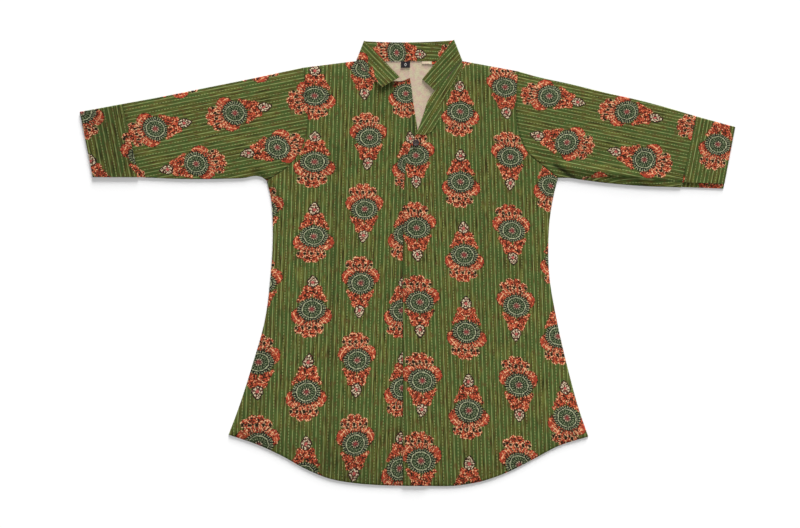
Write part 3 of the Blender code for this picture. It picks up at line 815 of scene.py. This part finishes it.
def make_cuff(cuff, materials):
    """A cuff: a band folded at the top, whose two ends lie on each other along the bottom."""
    seam_top, seam_bottom, edge_top, edge_bottom = (np.array(p) for p in cuff[1:5])
    from_seam = CUFF_GAP * unit(edge_top - seam_top)
    grid, places = [], []
    for share in crowded(22, 0.6):
        start = seam_top + from_seam + share * (edge_top - seam_top - from_seam)
        end = seam_bottom + from_seam + share * (edge_bottom - seam_bottom - from_seam)
        line, outward = moved_in(straight(start, end, 50), CUFF_RADIUS)
        under = line.copy()
        under[-1] -= outward * cuff.under_reach
        # The curl at seam and edge is a quarter round over a fortieth of the width
        curl = 1 - np.sqrt(1 - np.clip(1 - np.minimum(share, 1 - share) * 40, 0, 1) ** 2)
        upper, lower = raised(line, 2 * CUFF_RADIUS - CUFF_CURL * curl), raised(under, 0.0)
        fold = fold_arc(line[0], outward, CUFF_RADIUS, FOLD_STEPS)
        grid.append(np.concatenate([lower[::-1], fold, upper]))
        places.append(np.concatenate([unfolded(under[::-1], start), fold[:, :2], line]))
    grid, place = np.array(grid), printed(np.array(places), CUFF_PRINTS[cuff.side])
    if cuff.side == "right":
        grid, place = grid[:, ::-1], place[:, ::-1]
    name, shade = "cuff_" + cuff.side + "_band", shade_at(grid[..., :2])
    return add_shell(name, grid, CUFF_CLOTH, place, materials[:1], shade=shade)


def collar_row(share):
    """Outer surface of the collar along its length, at a share of its width from seam to top edge."""
    halves = []
    for leaf in LEAVES:
        seam_fold, top_fold, seam_end, top_end = (np.array(p, float) for p in leaf[1:5])
        outward = unit(np.array([seam_fold[1] - top_fold[1], top_fold[0] - seam_fold[0]]))
        if leaf.side == "right":
            outward = -outward
        fold = seam_fold + share * (top_fold - seam_fold) - COLLAR_RADIUS * outward
        end = seam_end + share * (top_end - seam_end)
        near_end = (np.linspace(1.0, 0.0, LEAF_STEPS + 1) - LEAF_RISE_FROM) / (1 - LEAF_RISE_FROM)
        rise = (leaf.rise - leaf.droop * share) * smoothstep(near_end)
        upper = raised(straight(end, fold, LEAF_STEPS), 2 * COLLAR_RADIUS + rise)
        halves.append((upper, fold_arc(fold, outward, COLLAR_RADIUS, COLLAR_FOLD_STEPS)[::-1], fold))
    (left_leaf, left_fold, left_at), (right_leaf, right_fold, right_at) = halves
    band = raised(straight(left_at, right_at, BAND_STEPS), 0.0)
    across = np.linspace(0.0, 1.0, BAND_STEPS + 1)
    band[:, 1] -= share * BAND_SAG * 4 * across * (1 - across)
    return np.concatenate([left_leaf, left_fold, band, right_fold[::-1], right_leaf[::-1]])


def make_collar(materials):
    """The stand collar: its outer face shows on the leaves, and its printed inner face on the band."""
    grid = np.array([collar_row(COLLAR_GAP + (1 - COLLAR_GAP) * share) for share in crowded(20, 0.6)])
    plan = grid[..., :2]
    leaf_end = LEAF_STEPS + COLLAR_FOLD_STEPS
    band = printed(plan, BAND_PRINT)
    outer = band.copy()
    outer[:, :leaf_end] = printed(plan[:, :leaf_end], LEAF_PRINT)
    outer[:, -leaf_end:] = striped(plan[:, -leaf_end:], LEAVES[1].seam_end, LEAF_STRIPES)
    return add_shell("stand_collar", grid, COLLAR_CLOTH, outer, materials[:1], inner_cloth=band)


# Trims and fastenings

def set_back(line, distance):
    """A line moved to the left of its own direction, by a distance."""
    along = unit(np.gradient(line, axis=0))
    return line + distance * np.stack([-along[:, 1], along[:, 0]], axis=1)


def add_stitches(name, lines, material, pitch=3.1, length=2.2, radius=0.26):
    """Running stitches along lines in space: each a grain with two points and a square waist."""
    grains = []
    for line in lines:
        far = lengths_along(line)
        at = np.arange(0.5 * pitch, far[-1], pitch)
        behind, middle, ahead = (read(line, far, at + off) for off in (-0.5, 0.0, 0.5))
        along = unit(ahead - behind)
        aside = unit(np.cross((0.0, 0.0, 1.0), along))
        above = np.cross(along, aside)
        waist = [side * radius for side in (aside, above, -aside, -above)]
        tip = along * length / 2
        grains.append(np.stack([middle + off for off in (tip, *waist, -tip)], axis=1))
    grains = np.concatenate(grains)
    grain_faces = np.array([
        (0, 1, 2), (0, 2, 3), (0, 3, 4), (0, 4, 1), (5, 2, 1), (5, 3, 2), (5, 4, 3), (5, 1, 4),
    ])
    faces = (np.arange(len(grains))[:, None, None] * 6 + grain_faces).reshape(-1, 3)
    return add_mesh(name, grains.reshape(-1, 3), faces, [material], crease_angle=30.0)


def make_hem_stitches(thread):
    """The narrow hem's line of stitches on both fronts."""
    left = set_back(hem_between(HEM_LEFT[0] + HEM_END, LAP_LEFT_EDGE, 160), HEM_DEPTH)
    right = set_back(hem_between(LAP_LEFT_EDGE + 2, HEM_RIGHT[0] - HEM_END, 160), HEM_DEPTH)
    lines = [raised(left, left_front_top(left)), raised(right, right_front_top(right))]
    return add_stitches("hem_stitches", lines, thread)


def make_placket_stitches(thread):
    """Edge stitches down the lap, from the bottom of the V to the hem."""
    placket = smooth(PLACKET_RIGHT, 240)
    line = set_back(placket[placket[:, 1] < V_BOTTOM], PLACKET_STITCH)
    return add_stitches("placket_stitches", [raised(line, right_front_top(line))], thread)


def make_facing_stitches(thread):
    line = set_back(smooth(FACING_FREE, 90)[2:-2], -FACING_STITCH)
    return add_stitches("facing_stitches", [raised(line, right_front_top(line) + FACING_RISE)], thread)


def make_cuff_stitches(cuff, thread):
    """Two lines on the cuff's upper layer, one by the seam and one by the open edge."""
    seam, edge = np.array([cuff.seam_top, cuff.seam_bottom]), np.array([cuff.edge_top, cuff.edge_bottom])
    lines = []
    for share in CUFF_STITCHES:
        line, _ = moved_in(straight(*(seam + share * (edge - seam)), 40), 2 * CUFF_RADIUS)
        lines.append(raised(line, 2 * CUFF_RADIUS))
    return add_stitches("cuff_stitches_" + cuff.side, lines, thread)


def make_collar_stitches(thread):
    """Edge stitches round each leaf: along its seam, its end and its top edge."""
    near, far_off = COLLAR_STITCH, 1 - COLLAR_STITCH
    band_start = LEAF_STEPS + COLLAR_FOLD_STEPS + 2
    ends = np.array([collar_row(share)[[1, -2]] for share in np.linspace(near, far_off, 30)])
    lines = [ends[:, 0], ends[:, 1]]
    for row in (collar_row(near), collar_row(far_off)):
        lines += [row[1:LEAF_STEPS], row[-LEAF_STEPS:-1]]
        lines.append(row[band_start:-band_start] + (0.0, 0.0, COLLAR_CLOTH))
    return add_stitches("collar_stitches", lines, thread)


def make_neck_seam(materials, start_x, end_x, name):
    """A length of the neck seam's turnings, from the collar seam down onto the back's inner face.

    Its lower edge waves as a sine of x does, and it lifts a little towards that edge.
    """
    x = np.linspace(start_x, end_x, 41)
    depth = 3.6 + 0.08 * (x - 24) + 0.5 * np.sin(x / 3.1)
    down = np.linspace(0.0, 1.0, 9)[:, None]
    y = BACK_NECK + 0.4 - down * depth
    z = CLOTH + CLEAR + TURNINGS + 0.5 * down**2 + 0.15 * np.sin(x / 4.3) * down
    points = np.stack(np.broadcast_arrays(x, y, z), axis=-1)
    return add_shell(name, points, TURNINGS, points[..., :2] + NECK_SEAM_PRINT, materials)


def make_label(material):
    """A woven size label: a thin bowed tag that hangs from the neck seam."""
    across, down = np.linspace(0.0, 1.0, 25), np.linspace(0.0, 1.0, 17)[:, None]
    (low_x, low_y), (high_x, high_y) = LABEL_BOX
    z = LABEL_TOP - 0.25 * np.sin(np.pi * across) + 0.2 * down**2
    x, y = low_x + across * (high_x - low_x), high_y - down * (high_y - low_y)
    points = np.stack(np.broadcast_arrays(x, y, z), axis=-1)
    return add_shell("size_label", points, LABEL_CLOTH, points[..., :2], [material])


def make_button(material):
    """A four-hole button: a turned profile, with a rim, a shallow dish and four dents for the thread."""
    radius, height = resampled(BUTTON_PROFILE, 60).T[..., None]
    turn = np.linspace(0.0, 2 * np.pi, 64, endpoint=False)
    x, y = radius * np.cos(turn), radius * np.sin(turn)
    holes = [(hole_x, hole_y) for hole_x in (-HOLE_AT, HOLE_AT) for hole_y in (-HOLE_AT, HOLE_AT)]
    dents = sum(np.exp(-((x - hole_x) ** 2 + (y - hole_y) ** 2) / DENT_RADIUS**2) for hole_x, hole_y in holes)
    z = BUTTON_BASE + height - DENT_DEPTH * dents * (height > 1.0)
    points = np.stack([x + BUTTON_AT[0], y + BUTTON_AT[1], z], axis=-1)
    index = np.arange(z.size).reshape(z.shape)
    sides = quads(np.concatenate([index, index[:, :1]], axis=1))
    poles = [index[0], index[-1, ::-1]]
    return add_mesh("placket_button", points.reshape(-1, 3), [*sides, *poles], [material])


def make_button_thread(thread):
    """Two short bars of thread over the button's holes."""
    x, y = BUTTON_AT
    bars = [
        raised(straight((x - HOLE_AT, y + off), (x + HOLE_AT, y + off), 1), BUTTON_BASE + BAR_HEIGHT)
        for off in (-HOLE_AT, HOLE_AT)
    ]
    return add_stitches("button_thread", bars, thread, pitch=2.6, length=3.2, radius=0.4)


# Materials

def srgb(red, green, blue):
    """The colour that shows as the given one, from 0 to 255, in the studio's light."""
    shares = np.array([red, green, blue]) / 255
    return tuple(np.where(shares <= 0.04045, shares / 12.92, ((shares + 0.055) / 1.055) ** 2.4) / LIGHT)


def arithmetic(operation, swapped=False):
    def apply(self, other):
        first, second = (other, self) if swapped else (self, other)
        return self.recipe.maths(operation, first, second)
    return apply


class Field:
    """A value that varies over a surface: one output socket. Arithmetic on it adds Math nodes."""

    def __init__(self, recipe, socket):
        self.recipe = recipe
        self.socket = socket

    __add__ = __radd__ = arithmetic("ADD")
    __sub__ = arithmetic("SUBTRACT")
    __rsub__ = arithmetic("SUBTRACT", swapped=True)
    __mul__ = __rmul__ = arithmetic("MULTIPLY")
    __truediv__ = arithmetic("DIVIDE")
    __rtruediv__ = arithmetic("DIVIDE", swapped=True)

    def maths(self, operation, *others):
        return self.recipe.maths(operation, self, *others)

    def __abs__(self):
        return self.maths("ABSOLUTE")

    def __round__(self):
        return self.maths("ROUND")

    def ramp_up(self, low, high, ends=(0.0, 1.0)):
        """The first end below low, the second above high, and a soft step between them."""
        values = dict(enumerate((self, low, high, *ends)))
        return self.recipe.node("ShaderNodeMapRange", {"interpolation_type": "SMOOTHSTEP"}, values)

    def under(self, edge, soft=0.5):
        """1 where the value is under edge, with a soft border."""
        return self.ramp_up(edge - soft, edge + soft, (1.0, 0.0))

    def line(self, at, half_width, soft=0.4):
        """1 where the value is within half_width of at."""
        return abs(self - at).under(half_width, soft)


class Recipe:
    """A material under construction."""

    def __init__(self, name, roughness, sheen=0.0, gloss=0.12):
        self.material = bpy.data.materials.new(name)
        self.material.use_nodes = True
        self.tree = self.material.node_tree
        self.inputs = self.tree.nodes["Principled BSDF"].inputs
        for key, value in (
            ("Roughness", roughness), ("Specular IOR Level", gloss), ("Sheen Weight", sheen),
            ("Sheen Roughness", 0.5),
        ):
            self.inputs[key].default_value = value

    def feed(self, socket, value):
        if isinstance(value, Field):
            self.tree.links.new(value.socket, socket)
        elif isinstance(value, tuple) and len(value) == 3 and socket.type == "RGBA":
            socket.default_value = (*value, 1.0)
        else:
            socket.default_value = value

    def node(self, kind, settings, inputs, output=0):
        """One node: its type, its settings, the values or links of its sockets, and the output in use."""
        made = self.tree.nodes.new(kind)
        for key, value in settings.items():
            setattr(made, key, value)
        for key, value in inputs.items():
            self.feed(made.inputs[key], value)
        return Field(self, made.outputs[output])

    def maths(self, operation, *values):
        return self.node("ShaderNodeMath", {"operation": operation}, dict(enumerate(values)))

    def vector(self, operation, *values, output=0):
        return self.node("ShaderNodeVectorMath", {"operation": operation}, dict(enumerate(values)), output)

    def point(self, x, y):
        return self.node("ShaderNodeCombineXYZ", {}, {0: x, 1: y})

    def split(self, place):
        return [self.node("ShaderNodeSeparateXYZ", {}, {0: place}, part) for part in (0, 1)]

    def uv(self, name):
        return self.node("ShaderNodeUVMap", {"uv_map": name}, {})

    def mix(self, share, first, second):
        return self.node("ShaderNodeMix", {"data_type": "RGBA"}, {0: share, 6: first, 7: second}, 2)

    def over(self, colour, *layers):
        """A colour with layers over it, each one (share, colour)."""
        for share, ink in layers:
            colour = self.mix(share, colour, ink)
        return colour

    def noise(self, place, scale, detail=2.0, output=0):
        """Soft clouds; scale is a number, or a pair where they are stretched."""
        if isinstance(scale, tuple):
            place, scale = self.vector("MULTIPLY", place, (*scale, 0.0)), 1.0
        inputs = {"Vector": place, "Scale": scale, "Detail": detail}
        return self.node("ShaderNodeTexNoise", {"noise_dimensions": "2D"}, inputs, output)

    def rings(self, value, stops):
        """A colour for each value: stops are (value from 0 to 1, colour)."""
        made = self.tree.nodes.new("ShaderNodeValToRGB")
        ramp = made.color_ramp
        ramp.elements.remove(ramp.elements[1])
        ramp.elements[0].position, ramp.elements[0].color = stops[0][0], (*stops[0][1], 1.0)
        for position, colour in stops[1:]:
            ramp.elements.new(position).color = (*colour, 1.0)
        self.feed(made.inputs[0], value)
        return Field(self, made.outputs[0])

    def finished(self, colour, **others):
        """The material, once its colour and any other inputs of the shader are fed."""
        for key, value in {"Base Color": colour, **others}.items():
            self.feed(self.inputs[key], value)
        return self.material

    def bump(self, height, strength, depth):
        return self.node("ShaderNodeBump", {}, {"Strength": strength, "Distance": depth, "Height": height})


# The inks
MOSS, OLIVE, LEAF, BARK = srgb(42, 45, 13), srgb(100, 105, 46), srgb(62, 88, 40), srgb(93, 64, 34)
STRIPE = srgb(136, 146, 90)
SOOT, BRICK, RED, SCARLET = srgb(36, 28, 14), srgb(100, 48, 28), srgb(140, 54, 36), srgb(174, 64, 41)
ORANGE, CREAM = srgb(208, 118, 76), srgb(224, 184, 140)
BLACK, PINE, FERN = srgb(18, 22, 14), srgb(44, 56, 34), srgb(80, 98, 60)
SAGE, CHALK = srgb(138, 148, 112), srgb(184, 184, 148)
PINK, ROSE, SHELL = srgb(124, 48, 52), srgb(172, 84, 78), srgb(214, 156, 136)
PETAL, FINIAL = srgb(206, 190, 158), srgb(112, 64, 52)
WRONG_SIDE, WRONG_SIDE_WARM = srgb(192, 182, 152), srgb(192, 166, 150)

OUTER_RING = 23.9  # radius of the medallion's wheel
SPOKES = 32
WHEEL_WIDE, WHEEL_HIGH = 1.02, 0.92
FAN_MIDDLE = -3.4
STRIPE_PITCH = COLUMN / 12.2
STITCH_PITCH = 4.9


def striped_ground(paint, place):
    """Streaky green with thin pale stripes, every other one broken into running stitches."""
    across, along = paint.split(place)
    streaks = paint.noise(place, (0.75, 0.03), 3.0)
    clouds = paint.noise(place, (0.06, 0.02))
    specks = paint.noise(place, (0.45, 0.09), 3.0)
    number = round(across / STRIPE_PITCH)
    off = abs(across - number * STRIPE_PITCH)
    step = along / STITCH_PITCH + (number * 12.9).maths("SINE") * 3.1
    dash = abs(step - round(step)).under(0.33, 0.12)
    inked = (1.0 - number.maths("FLOORED_MODULO", 2.0) * (1.0 - dash)) * specks.ramp_up(0.85, 0.35)
    return paint.over(
        paint.mix(streaks.ramp_up(0.38, 0.60), MOSS, OLIVE),
        (clouds.ramp_up(0.38, 0.60) * 0.75, LEAF),
        (specks.ramp_up(0.5, 0.68) * 0.6, BARK),
        (off.line(2.2, 0.4, 0.5) * 0.5, MOSS),
        (off.under(0.75, 0.5) * inked * 0.9, STRIPE),
    )


def nearest(*edges):
    """The union of shapes given by their distances."""
    union = edges[0]
    for edge in edges[1:]:
        union = union.maths("MINIMUM", edge)
    return union


def circles(at, *rows):
    """Distance outside a union of circles, below zero inside it; a row is (x, y, radius)."""
    measure = at.recipe.vector
    return nearest(*(measure("DISTANCE", at, (x, y, 0.0), output=1) - radius for x, y, radius in rows))


def wheel_inks(paint, radius, angle):
    """The wheel's colour by distance from its middle, on the spokes and between them.

    A star of ten petals in the middle, twenty short spokes round it, a pale ring, and the long spokes.
    """
    share = radius / OUTER_RING
    between = paint.rings(share, [
        (0.0, PINK), (0.08, ROSE), (0.13, PINK), (0.18, SHELL), (0.26, CHALK), (0.30, BLACK), (0.36, FERN),
        (0.44, SAGE), (0.52, FERN), (0.60, PINE), (0.63, CHALK), (0.66, CHALK), (0.69, BLACK), (0.74, BLACK),
        (0.78, CHALK), (0.84, FERN), (0.90, CHALK), (0.96, SAGE),
    ])
    on_spokes = paint.rings(share, [
        (0.0, RED), (0.08, PINK), (0.16, SOOT), (0.30, SOOT), (0.34, PINE), (0.40, BLACK), (0.56, PINE),
        (0.60, BLACK), (0.63, CHALK), (0.66, SAGE), (0.69, BLACK), (0.97, BLACK),
    ])
    petals, short, long = ((angle * count).maths("COSINE") for count in (10, 20, SPOKES))
    past_star, past_ring = share.ramp_up(0.30, 0.33), share.ramp_up(0.65, 0.68)
    spokes = petals * (1.0 - past_star) + short * (past_star - past_ring) + long * past_ring
    return paint.mix(spokes.ramp_up(-0.75, 0.1), between, on_spokes)


def medallion(paint, place, colour):
    """The block-printed medallion over colour.

    A spoked wheel, flattened a little. On one side of it two horns and a fan, on the other a posy that
    ends in a small flower. Shapes are unions of circles, given by their distances.
    """
    wobble = paint.vector("SUBTRACT", paint.noise(place, 0.22, output=1), (0.5, 0.5, 0.5))
    slip = paint.vector("MULTIPLY", wobble, (MOTTLED_EDGE, MOTTLED_EDGE, 0.0))
    across, along = paint.split(paint.vector("ADD", place, slip))
    column = round(across / COLUMN)
    odd = column.maths("FLOORED_MODULO", 2.0)
    x = across - column * COLUMN
    dropped = along + odd * DROP
    y = (dropped - round(dropped / ROW) * ROW) * (1.0 - 2.0 * odd)
    inked = across.under(PLAIN_FROM, 1.0)
    grain, clumps = paint.noise(place, 0.42, 3.0), paint.noise(place, 0.16, 1.0)
    seeds = paint.node("ShaderNodeTexVoronoi", {"voronoi_dimensions": "2D"}, {"Vector": place, "Scale": 0.3})
    dots = seeds.under(0.27, 0.08)

    angle = (y / 0.9).maths("ARCTAN2", x)
    radius = paint.vector("LENGTH", paint.point(x / WHEEL_WIDE, y / WHEEL_HIGH), output=1)
    spokes = (angle * SPOKES).maths("COSINE")
    fan_x = abs(x - FAN_MIDDLE)
    side, fan_side = paint.point(abs(x), y), paint.point(fan_x, y)

    horn = circles(side, (19.2, 11.0, 14.6)).maths("MAXIMUM", y - 25.0)
    lobes = circles(fan_side, (17.0, 33.5, 7.2), (5.6, 40.0, 7.2))
    fan = nearest(lobes, circles(fan_side, (0.0, 21.5, 19.0)))
    bud = circles(side, (0.0, -34.0, 8.4))
    petals = circles(side, (9.2, -35.0, 6.8), (9.5, -25.0, 9.0), (16.5, -20.0, 5.6), (21.8, -14.5, 3.4))
    shape = nearest(horn, fan, bud, petals) + (grain - 0.5) * 3.0

    beads = (angle * (2 * SPOKES)).maths("COSINE")
    dotted = dots * (shape.ramp_up(-4.5, -2.0) + bud.line(-1.0, 1.2) + lobes.line(-1.0, 1.4))
    in_horn = horn.under(-1.5, 1.0) * radius.ramp_up(26.0, 28.5)
    pale_row = radius.line(26.2, 1.5) * y.ramp_up(2.0, 9.0) * (beads * 0.24 + 0.06)
    outline = dotted * (1.0 - in_horn) * 0.5 + beads * shape.line(-0.8, 0.6) * 0.25
    highlight = radius.line(29.6, 0.9) * in_horn * clumps.ramp_up(0.40, 0.50) * 0.4
    highlight = highlight - horn.line(-0.2, 1.0) * y.ramp_up(26.0, 22.0) * 0.3
    mottle = ((grain - 0.5) * 1.8 + (clumps - 0.5) * 1.1) * (1.0 - in_horn * 0.7)
    tone = mottle + in_horn * 0.10 + 0.32 + outline + highlight + pale_row
    red_inks = paint.rings(tone, [
        (0.09, SOOT), (0.21, BRICK), (0.34, RED), (0.54, SCARLET), (0.74, ORANGE), (0.92, CREAM),
    ])

    fan_strokes = radius.under(35.0, 1.5) * y.ramp_up(12.0, 18.0) * spokes.ramp_up(0.3, 0.85)
    spot_at = paint.point(fan_x.maths("PINGPONG", 5.3), (y - 31.0) * 0.8)
    spot = paint.vector("LENGTH", spot_at, output=1)
    spots = fan_x.under(23.5, 0.5) * y.ramp_up(25.0, 27.0) * inked

    tip = circles(side, (0.0, -47.0, 9.0), (0.0, -54.5, 5.0))
    turns = ((y + 48.5).maths("ARCTAN2", x) * 8.0).maths("COSINE")
    finial = paint.over(
        paint.mix(grain.ramp_up(0.42, 0.58), SOOT, FINIAL),
        (dots * tip.under(-0.5), PETAL), (tip.line(-2.6, 1.0) * turns.ramp_up(0.1, 0.7), PETAL),
        (tip.line(-0.2, 0.7), BLACK), (tip.under(-6.4, 0.7), ROSE),
    )

    wheel = paint.over(
        wheel_inks(paint, radius, angle),
        (grain.ramp_up(0.50, 0.38) * 0.6, BLACK), (grain.ramp_up(0.56, 0.66) * 0.3, SAGE),
    )
    reach = radius + abs(y) * 0.12
    rim = reach.line(OUTER_RING + 0.9, 0.8) * spokes.ramp_up(-0.3, 0.5)
    return paint.over(
        colour,
        (shape.under(0.0) * inked, red_inks),
        (fan_strokes * grain.ramp_up(0.40, 0.56) * inked * 0.7, CREAM),
        (spot.under(3.1, 0.5) * spots * grain.ramp_up(0.45, 0.6), CREAM),
        (spot.under(2.3, 0.6) * spots, SOOT),
        ((tip - 0.5 * turns).under(0.6) * inked, finial),
        (rim * inked * 0.8, SOOT),
        ((reach - 0.8 * spokes).under(OUTER_RING - 0.6) * inked, wheel),
    )


def cotton(name, wrong_side):
    """The printed cotton, seen from its printed side or from its pale wrong side, with painted shade from a mesh
    attribute taken off its colour.
    """
    paint = Recipe(name, roughness=0.92, sheen=0.03)
    place = paint.uv("cloth")
    colour = medallion(paint, place, striped_ground(paint, paint.uv("stripes")))
    # Painted shade: the share of the colour that the mesh attribute takes off, in creases, along seams and over broad
    # areas
    painted_shade = paint.node("ShaderNodeAttribute", {"attribute_name": "painted_shade"}, {}, 2)
    if wrong_side:
        pale = paint.mix(paint.noise(place, 0.12, 3.0).ramp_up(0.35, 0.65), WRONG_SIDE, WRONG_SIDE_WARM)
        colour = paint.mix(paint.noise(place, 0.4).ramp_up(0.2, 0.8) * 0.16, pale, colour)
    colour = paint.node("ShaderNodeVectorMath", {"operation": "SCALE"}, {0: colour, "Scale": 1.0 - painted_shade})
    return paint.finished(colour, Normal=paint.bump(paint.noise(place, (1.4, 0.7)), 0.2, 0.0003))


def sewing_thread():
    """Tonal green thread, lighter and darker from stitch to stitch."""
    paint = Recipe("green_sewing_thread", roughness=0.7, sheen=0.2)
    shade = paint.noise(paint.node("ShaderNodeTexCoord", {}, {}, 3), (400.0, 400.0), 1.0)
    return paint.finished(paint.mix(shade, srgb(52, 60, 26), srgb(120, 126, 78)))


def woven_tag():
    """Black damask with fine ribs, and one small pale lozenge woven in its middle."""
    paint = Recipe("black_woven_tag", roughness=0.6, sheen=0.1)
    x, y = paint.split(paint.uv("cloth"))
    middle_x, middle_y = ((low + high) / 2 for low, high in zip(*LABEL_BOX))
    spread = abs((x - middle_x) / 2.1) + abs((y - middle_y) / 3.0)
    ribs = (y * 9.0).maths("SINE")
    ground = paint.mix(ribs * 0.5 + 0.5, srgb(18, 16, 18), srgb(34, 30, 34))
    colour = paint.mix(spread.line(0.78, 0.2, 0.12), ground, srgb(190, 186, 180))
    return paint.finished(colour, Normal=paint.bump(ribs, 0.3, 0.0002))


def dark_horn():
    """A dark button with faint brown clouds."""
    paint = Recipe("dark_horn_button", roughness=0.35, gloss=0.4)
    clouds = paint.noise(paint.node("ShaderNodeTexCoord", {}, {}, 3), (260.0, 420.0), 3.0)
    colour = paint.mix(clouds.ramp_up(0.35, 0.7), srgb(34, 28, 32), srgb(78, 52, 54))
    return paint.finished(colour, Roughness=clouds * 0.2 + 0.28)


# The studio

def make_stage():
    """A plain white floor."""
    white = Recipe("studio_floor", roughness=0.9).finished((FLOOR_WHITE,) * 3)
    corners = FLOOR_HALF * np.array([(-1, -1, 0), (1, -1, 0), (1, 1, 0), (-1, 1, 0)])
    floor = add_mesh("studio_floor", corners, np.array([[0, 1, 2, 3]]), [white])
    floor.location.z = -FLOOR_DEPTH * MM
    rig.stage(floor)


def add_light(name, azimuth, elevation, spread, falls):
    """A far light, soft over a spread of angles; falls is the light from it that reaches the floor."""
    lamp = bpy.data.lights.new(name, "SUN")
    lamp.angle = np.radians(spread)
    lamp.energy = falls * np.pi / np.sin(np.radians(elevation))
    made = bpy.data.objects.new(name, lamp)
    made.rotation_euler = (np.radians(90.0 - elevation), 0.0, np.radians(azimuth + 90.0))
    bpy.context.scene.collection.objects.link(made)


def make_lights():
    """An even sky, a broad soft light overhead, and one that rakes over the cloth from past the collar."""
    world = bpy.data.worlds.new("studio")
    bpy.context.scene.world = world
    world.use_nodes = True
    sky = world.node_tree.nodes["Background"].inputs
    sky["Color"].default_value = (1.0, 1.0, 1.0, 1.0)
    sky["Strength"].default_value = SKY
    add_light("overhead", azimuth=200.0, elevation=80.0, spread=50.0, falls=0.30)
    add_light("raking", azimuth=78.0, elevation=16.0, spread=25.0, falls=0.60)


def make_camera():
    """Straight above the tunic, with a long lens."""
    lens = bpy.data.cameras.new("camera")
    lens.sensor_width = SENSOR
    lens.lens = SENSOR * CAMERA_AT[2] / FRAME_WIDTH
    camera = bpy.data.objects.new("camera", lens)
    camera.location = np.array(CAMERA_AT) * MM
    bpy.context.scene.collection.objects.link(camera)
    bpy.context.scene.camera = camera


Sheet = namedtuple("Sheet", "flat held rests_on")
SHEETS = {  # flat: the width and length in millimetres of the rectangle that the piece was cut from
    "back": Sheet((600, 704), "laid", ()),
    "front_left": Sheet((320, 704), "laid", ("back_panel",)),
    "front_right": Sheet((310, 704), "laid", ("back_panel", "left_front_panel")),
    "placket_facing": Sheet((28, 152), "folded", ("right_front_panel",)),
    "sleeve_left": Sheet((400, 306), "folded", ()),
    "sleeve_right": Sheet((400, 306), "folded", ()),
    "cuff_left": Sheet((256, 80), "folded", ()),
    "cuff_right": Sheet((256, 80), "folded", ()),
    "collar_stand": Sheet((330, 40), "folded", ("back_panel", "left_front_panel", "right_front_panel")),
    "label": Sheet((15.2, 10.6), "laid", ("back_panel",)),
}


def cloth_area(piece):
    """Half the area of a thin shell's faces, in square metres: the area of cloth in it."""
    areas = np.empty(len(piece.data.polygons))
    piece.data.polygons.foreach_get("area", areas)
    return float(areas.sum() / 2)


def main():
    bpy.context.scene.view_settings.view_transform = "Standard"
    make_camera()
    make_stage()
    make_lights()
    cloth = [cotton("printed_cotton_right_side", False), cotton("printed_cotton_wrong_side", True)]
    thread, tag, horn = sewing_thread(), woven_tag(), dark_horn()
    front_left, front_right = make_left_front(cloth), make_right_front(cloth)
    pieces = {
        "back": make_back(cloth),
        "front_left": front_left,
        "front_right": front_right,
        "placket_facing": make_facing(cloth),
        "collar_stand": make_collar(cloth),
        "label": make_label(tag),
        "button": make_button(horn),
    }
    trims = {
        "back": [
            make_neck_seam(cloth[::-1], 24.0, 40.0, "neck_turnings_wrong_side"),
            make_neck_seam(cloth, 40.4, 60.0, "neck_turnings_right_side"),
        ],
        "front_right": [make_hem_stitches(thread), make_placket_stitches(thread)],
        "placket_facing": [make_facing_stitches(thread)],
        "collar_stand": [make_collar_stitches(thread)],
        "button": [make_button_thread(thread)],
    }
    for sleeve in SLEEVES:
        pieces["sleeve_" + sleeve.side] = make_sleeve(sleeve, cloth)
    for cuff in CUFFS:
        pieces["cuff_" + cuff.side] = make_cuff(cuff, cloth)
        trims["cuff_" + cuff.side] = [make_cuff_stitches(cuff, thread)]
    for node, piece in pieces.items():
        slot = node if node in ("label", "button") else "printed_cotton"
        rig.replaces(piece, node)
        for part in [piece] + trims.get(node, []):
            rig.ride(part, "root")
            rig.slot(part, slot)
    for node, sheet in SHEETS.items():
        width, length = (side * MM for side in sheet.flat)
        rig.sheet(
            pieces[node], flat=(width, length), held=sheet.held, rests_on=sheet.rests_on,
            area=min(cloth_area(pieces[node]), width * length), with_pieces=trims.get(node, ()),
        )


main()

with open("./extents.json", "w") as sizes:
    json.dump({
        "cad": [list(corner) for corner in cad_box],
        "visual": [list(corner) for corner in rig.bounds()],
    }, sizes)
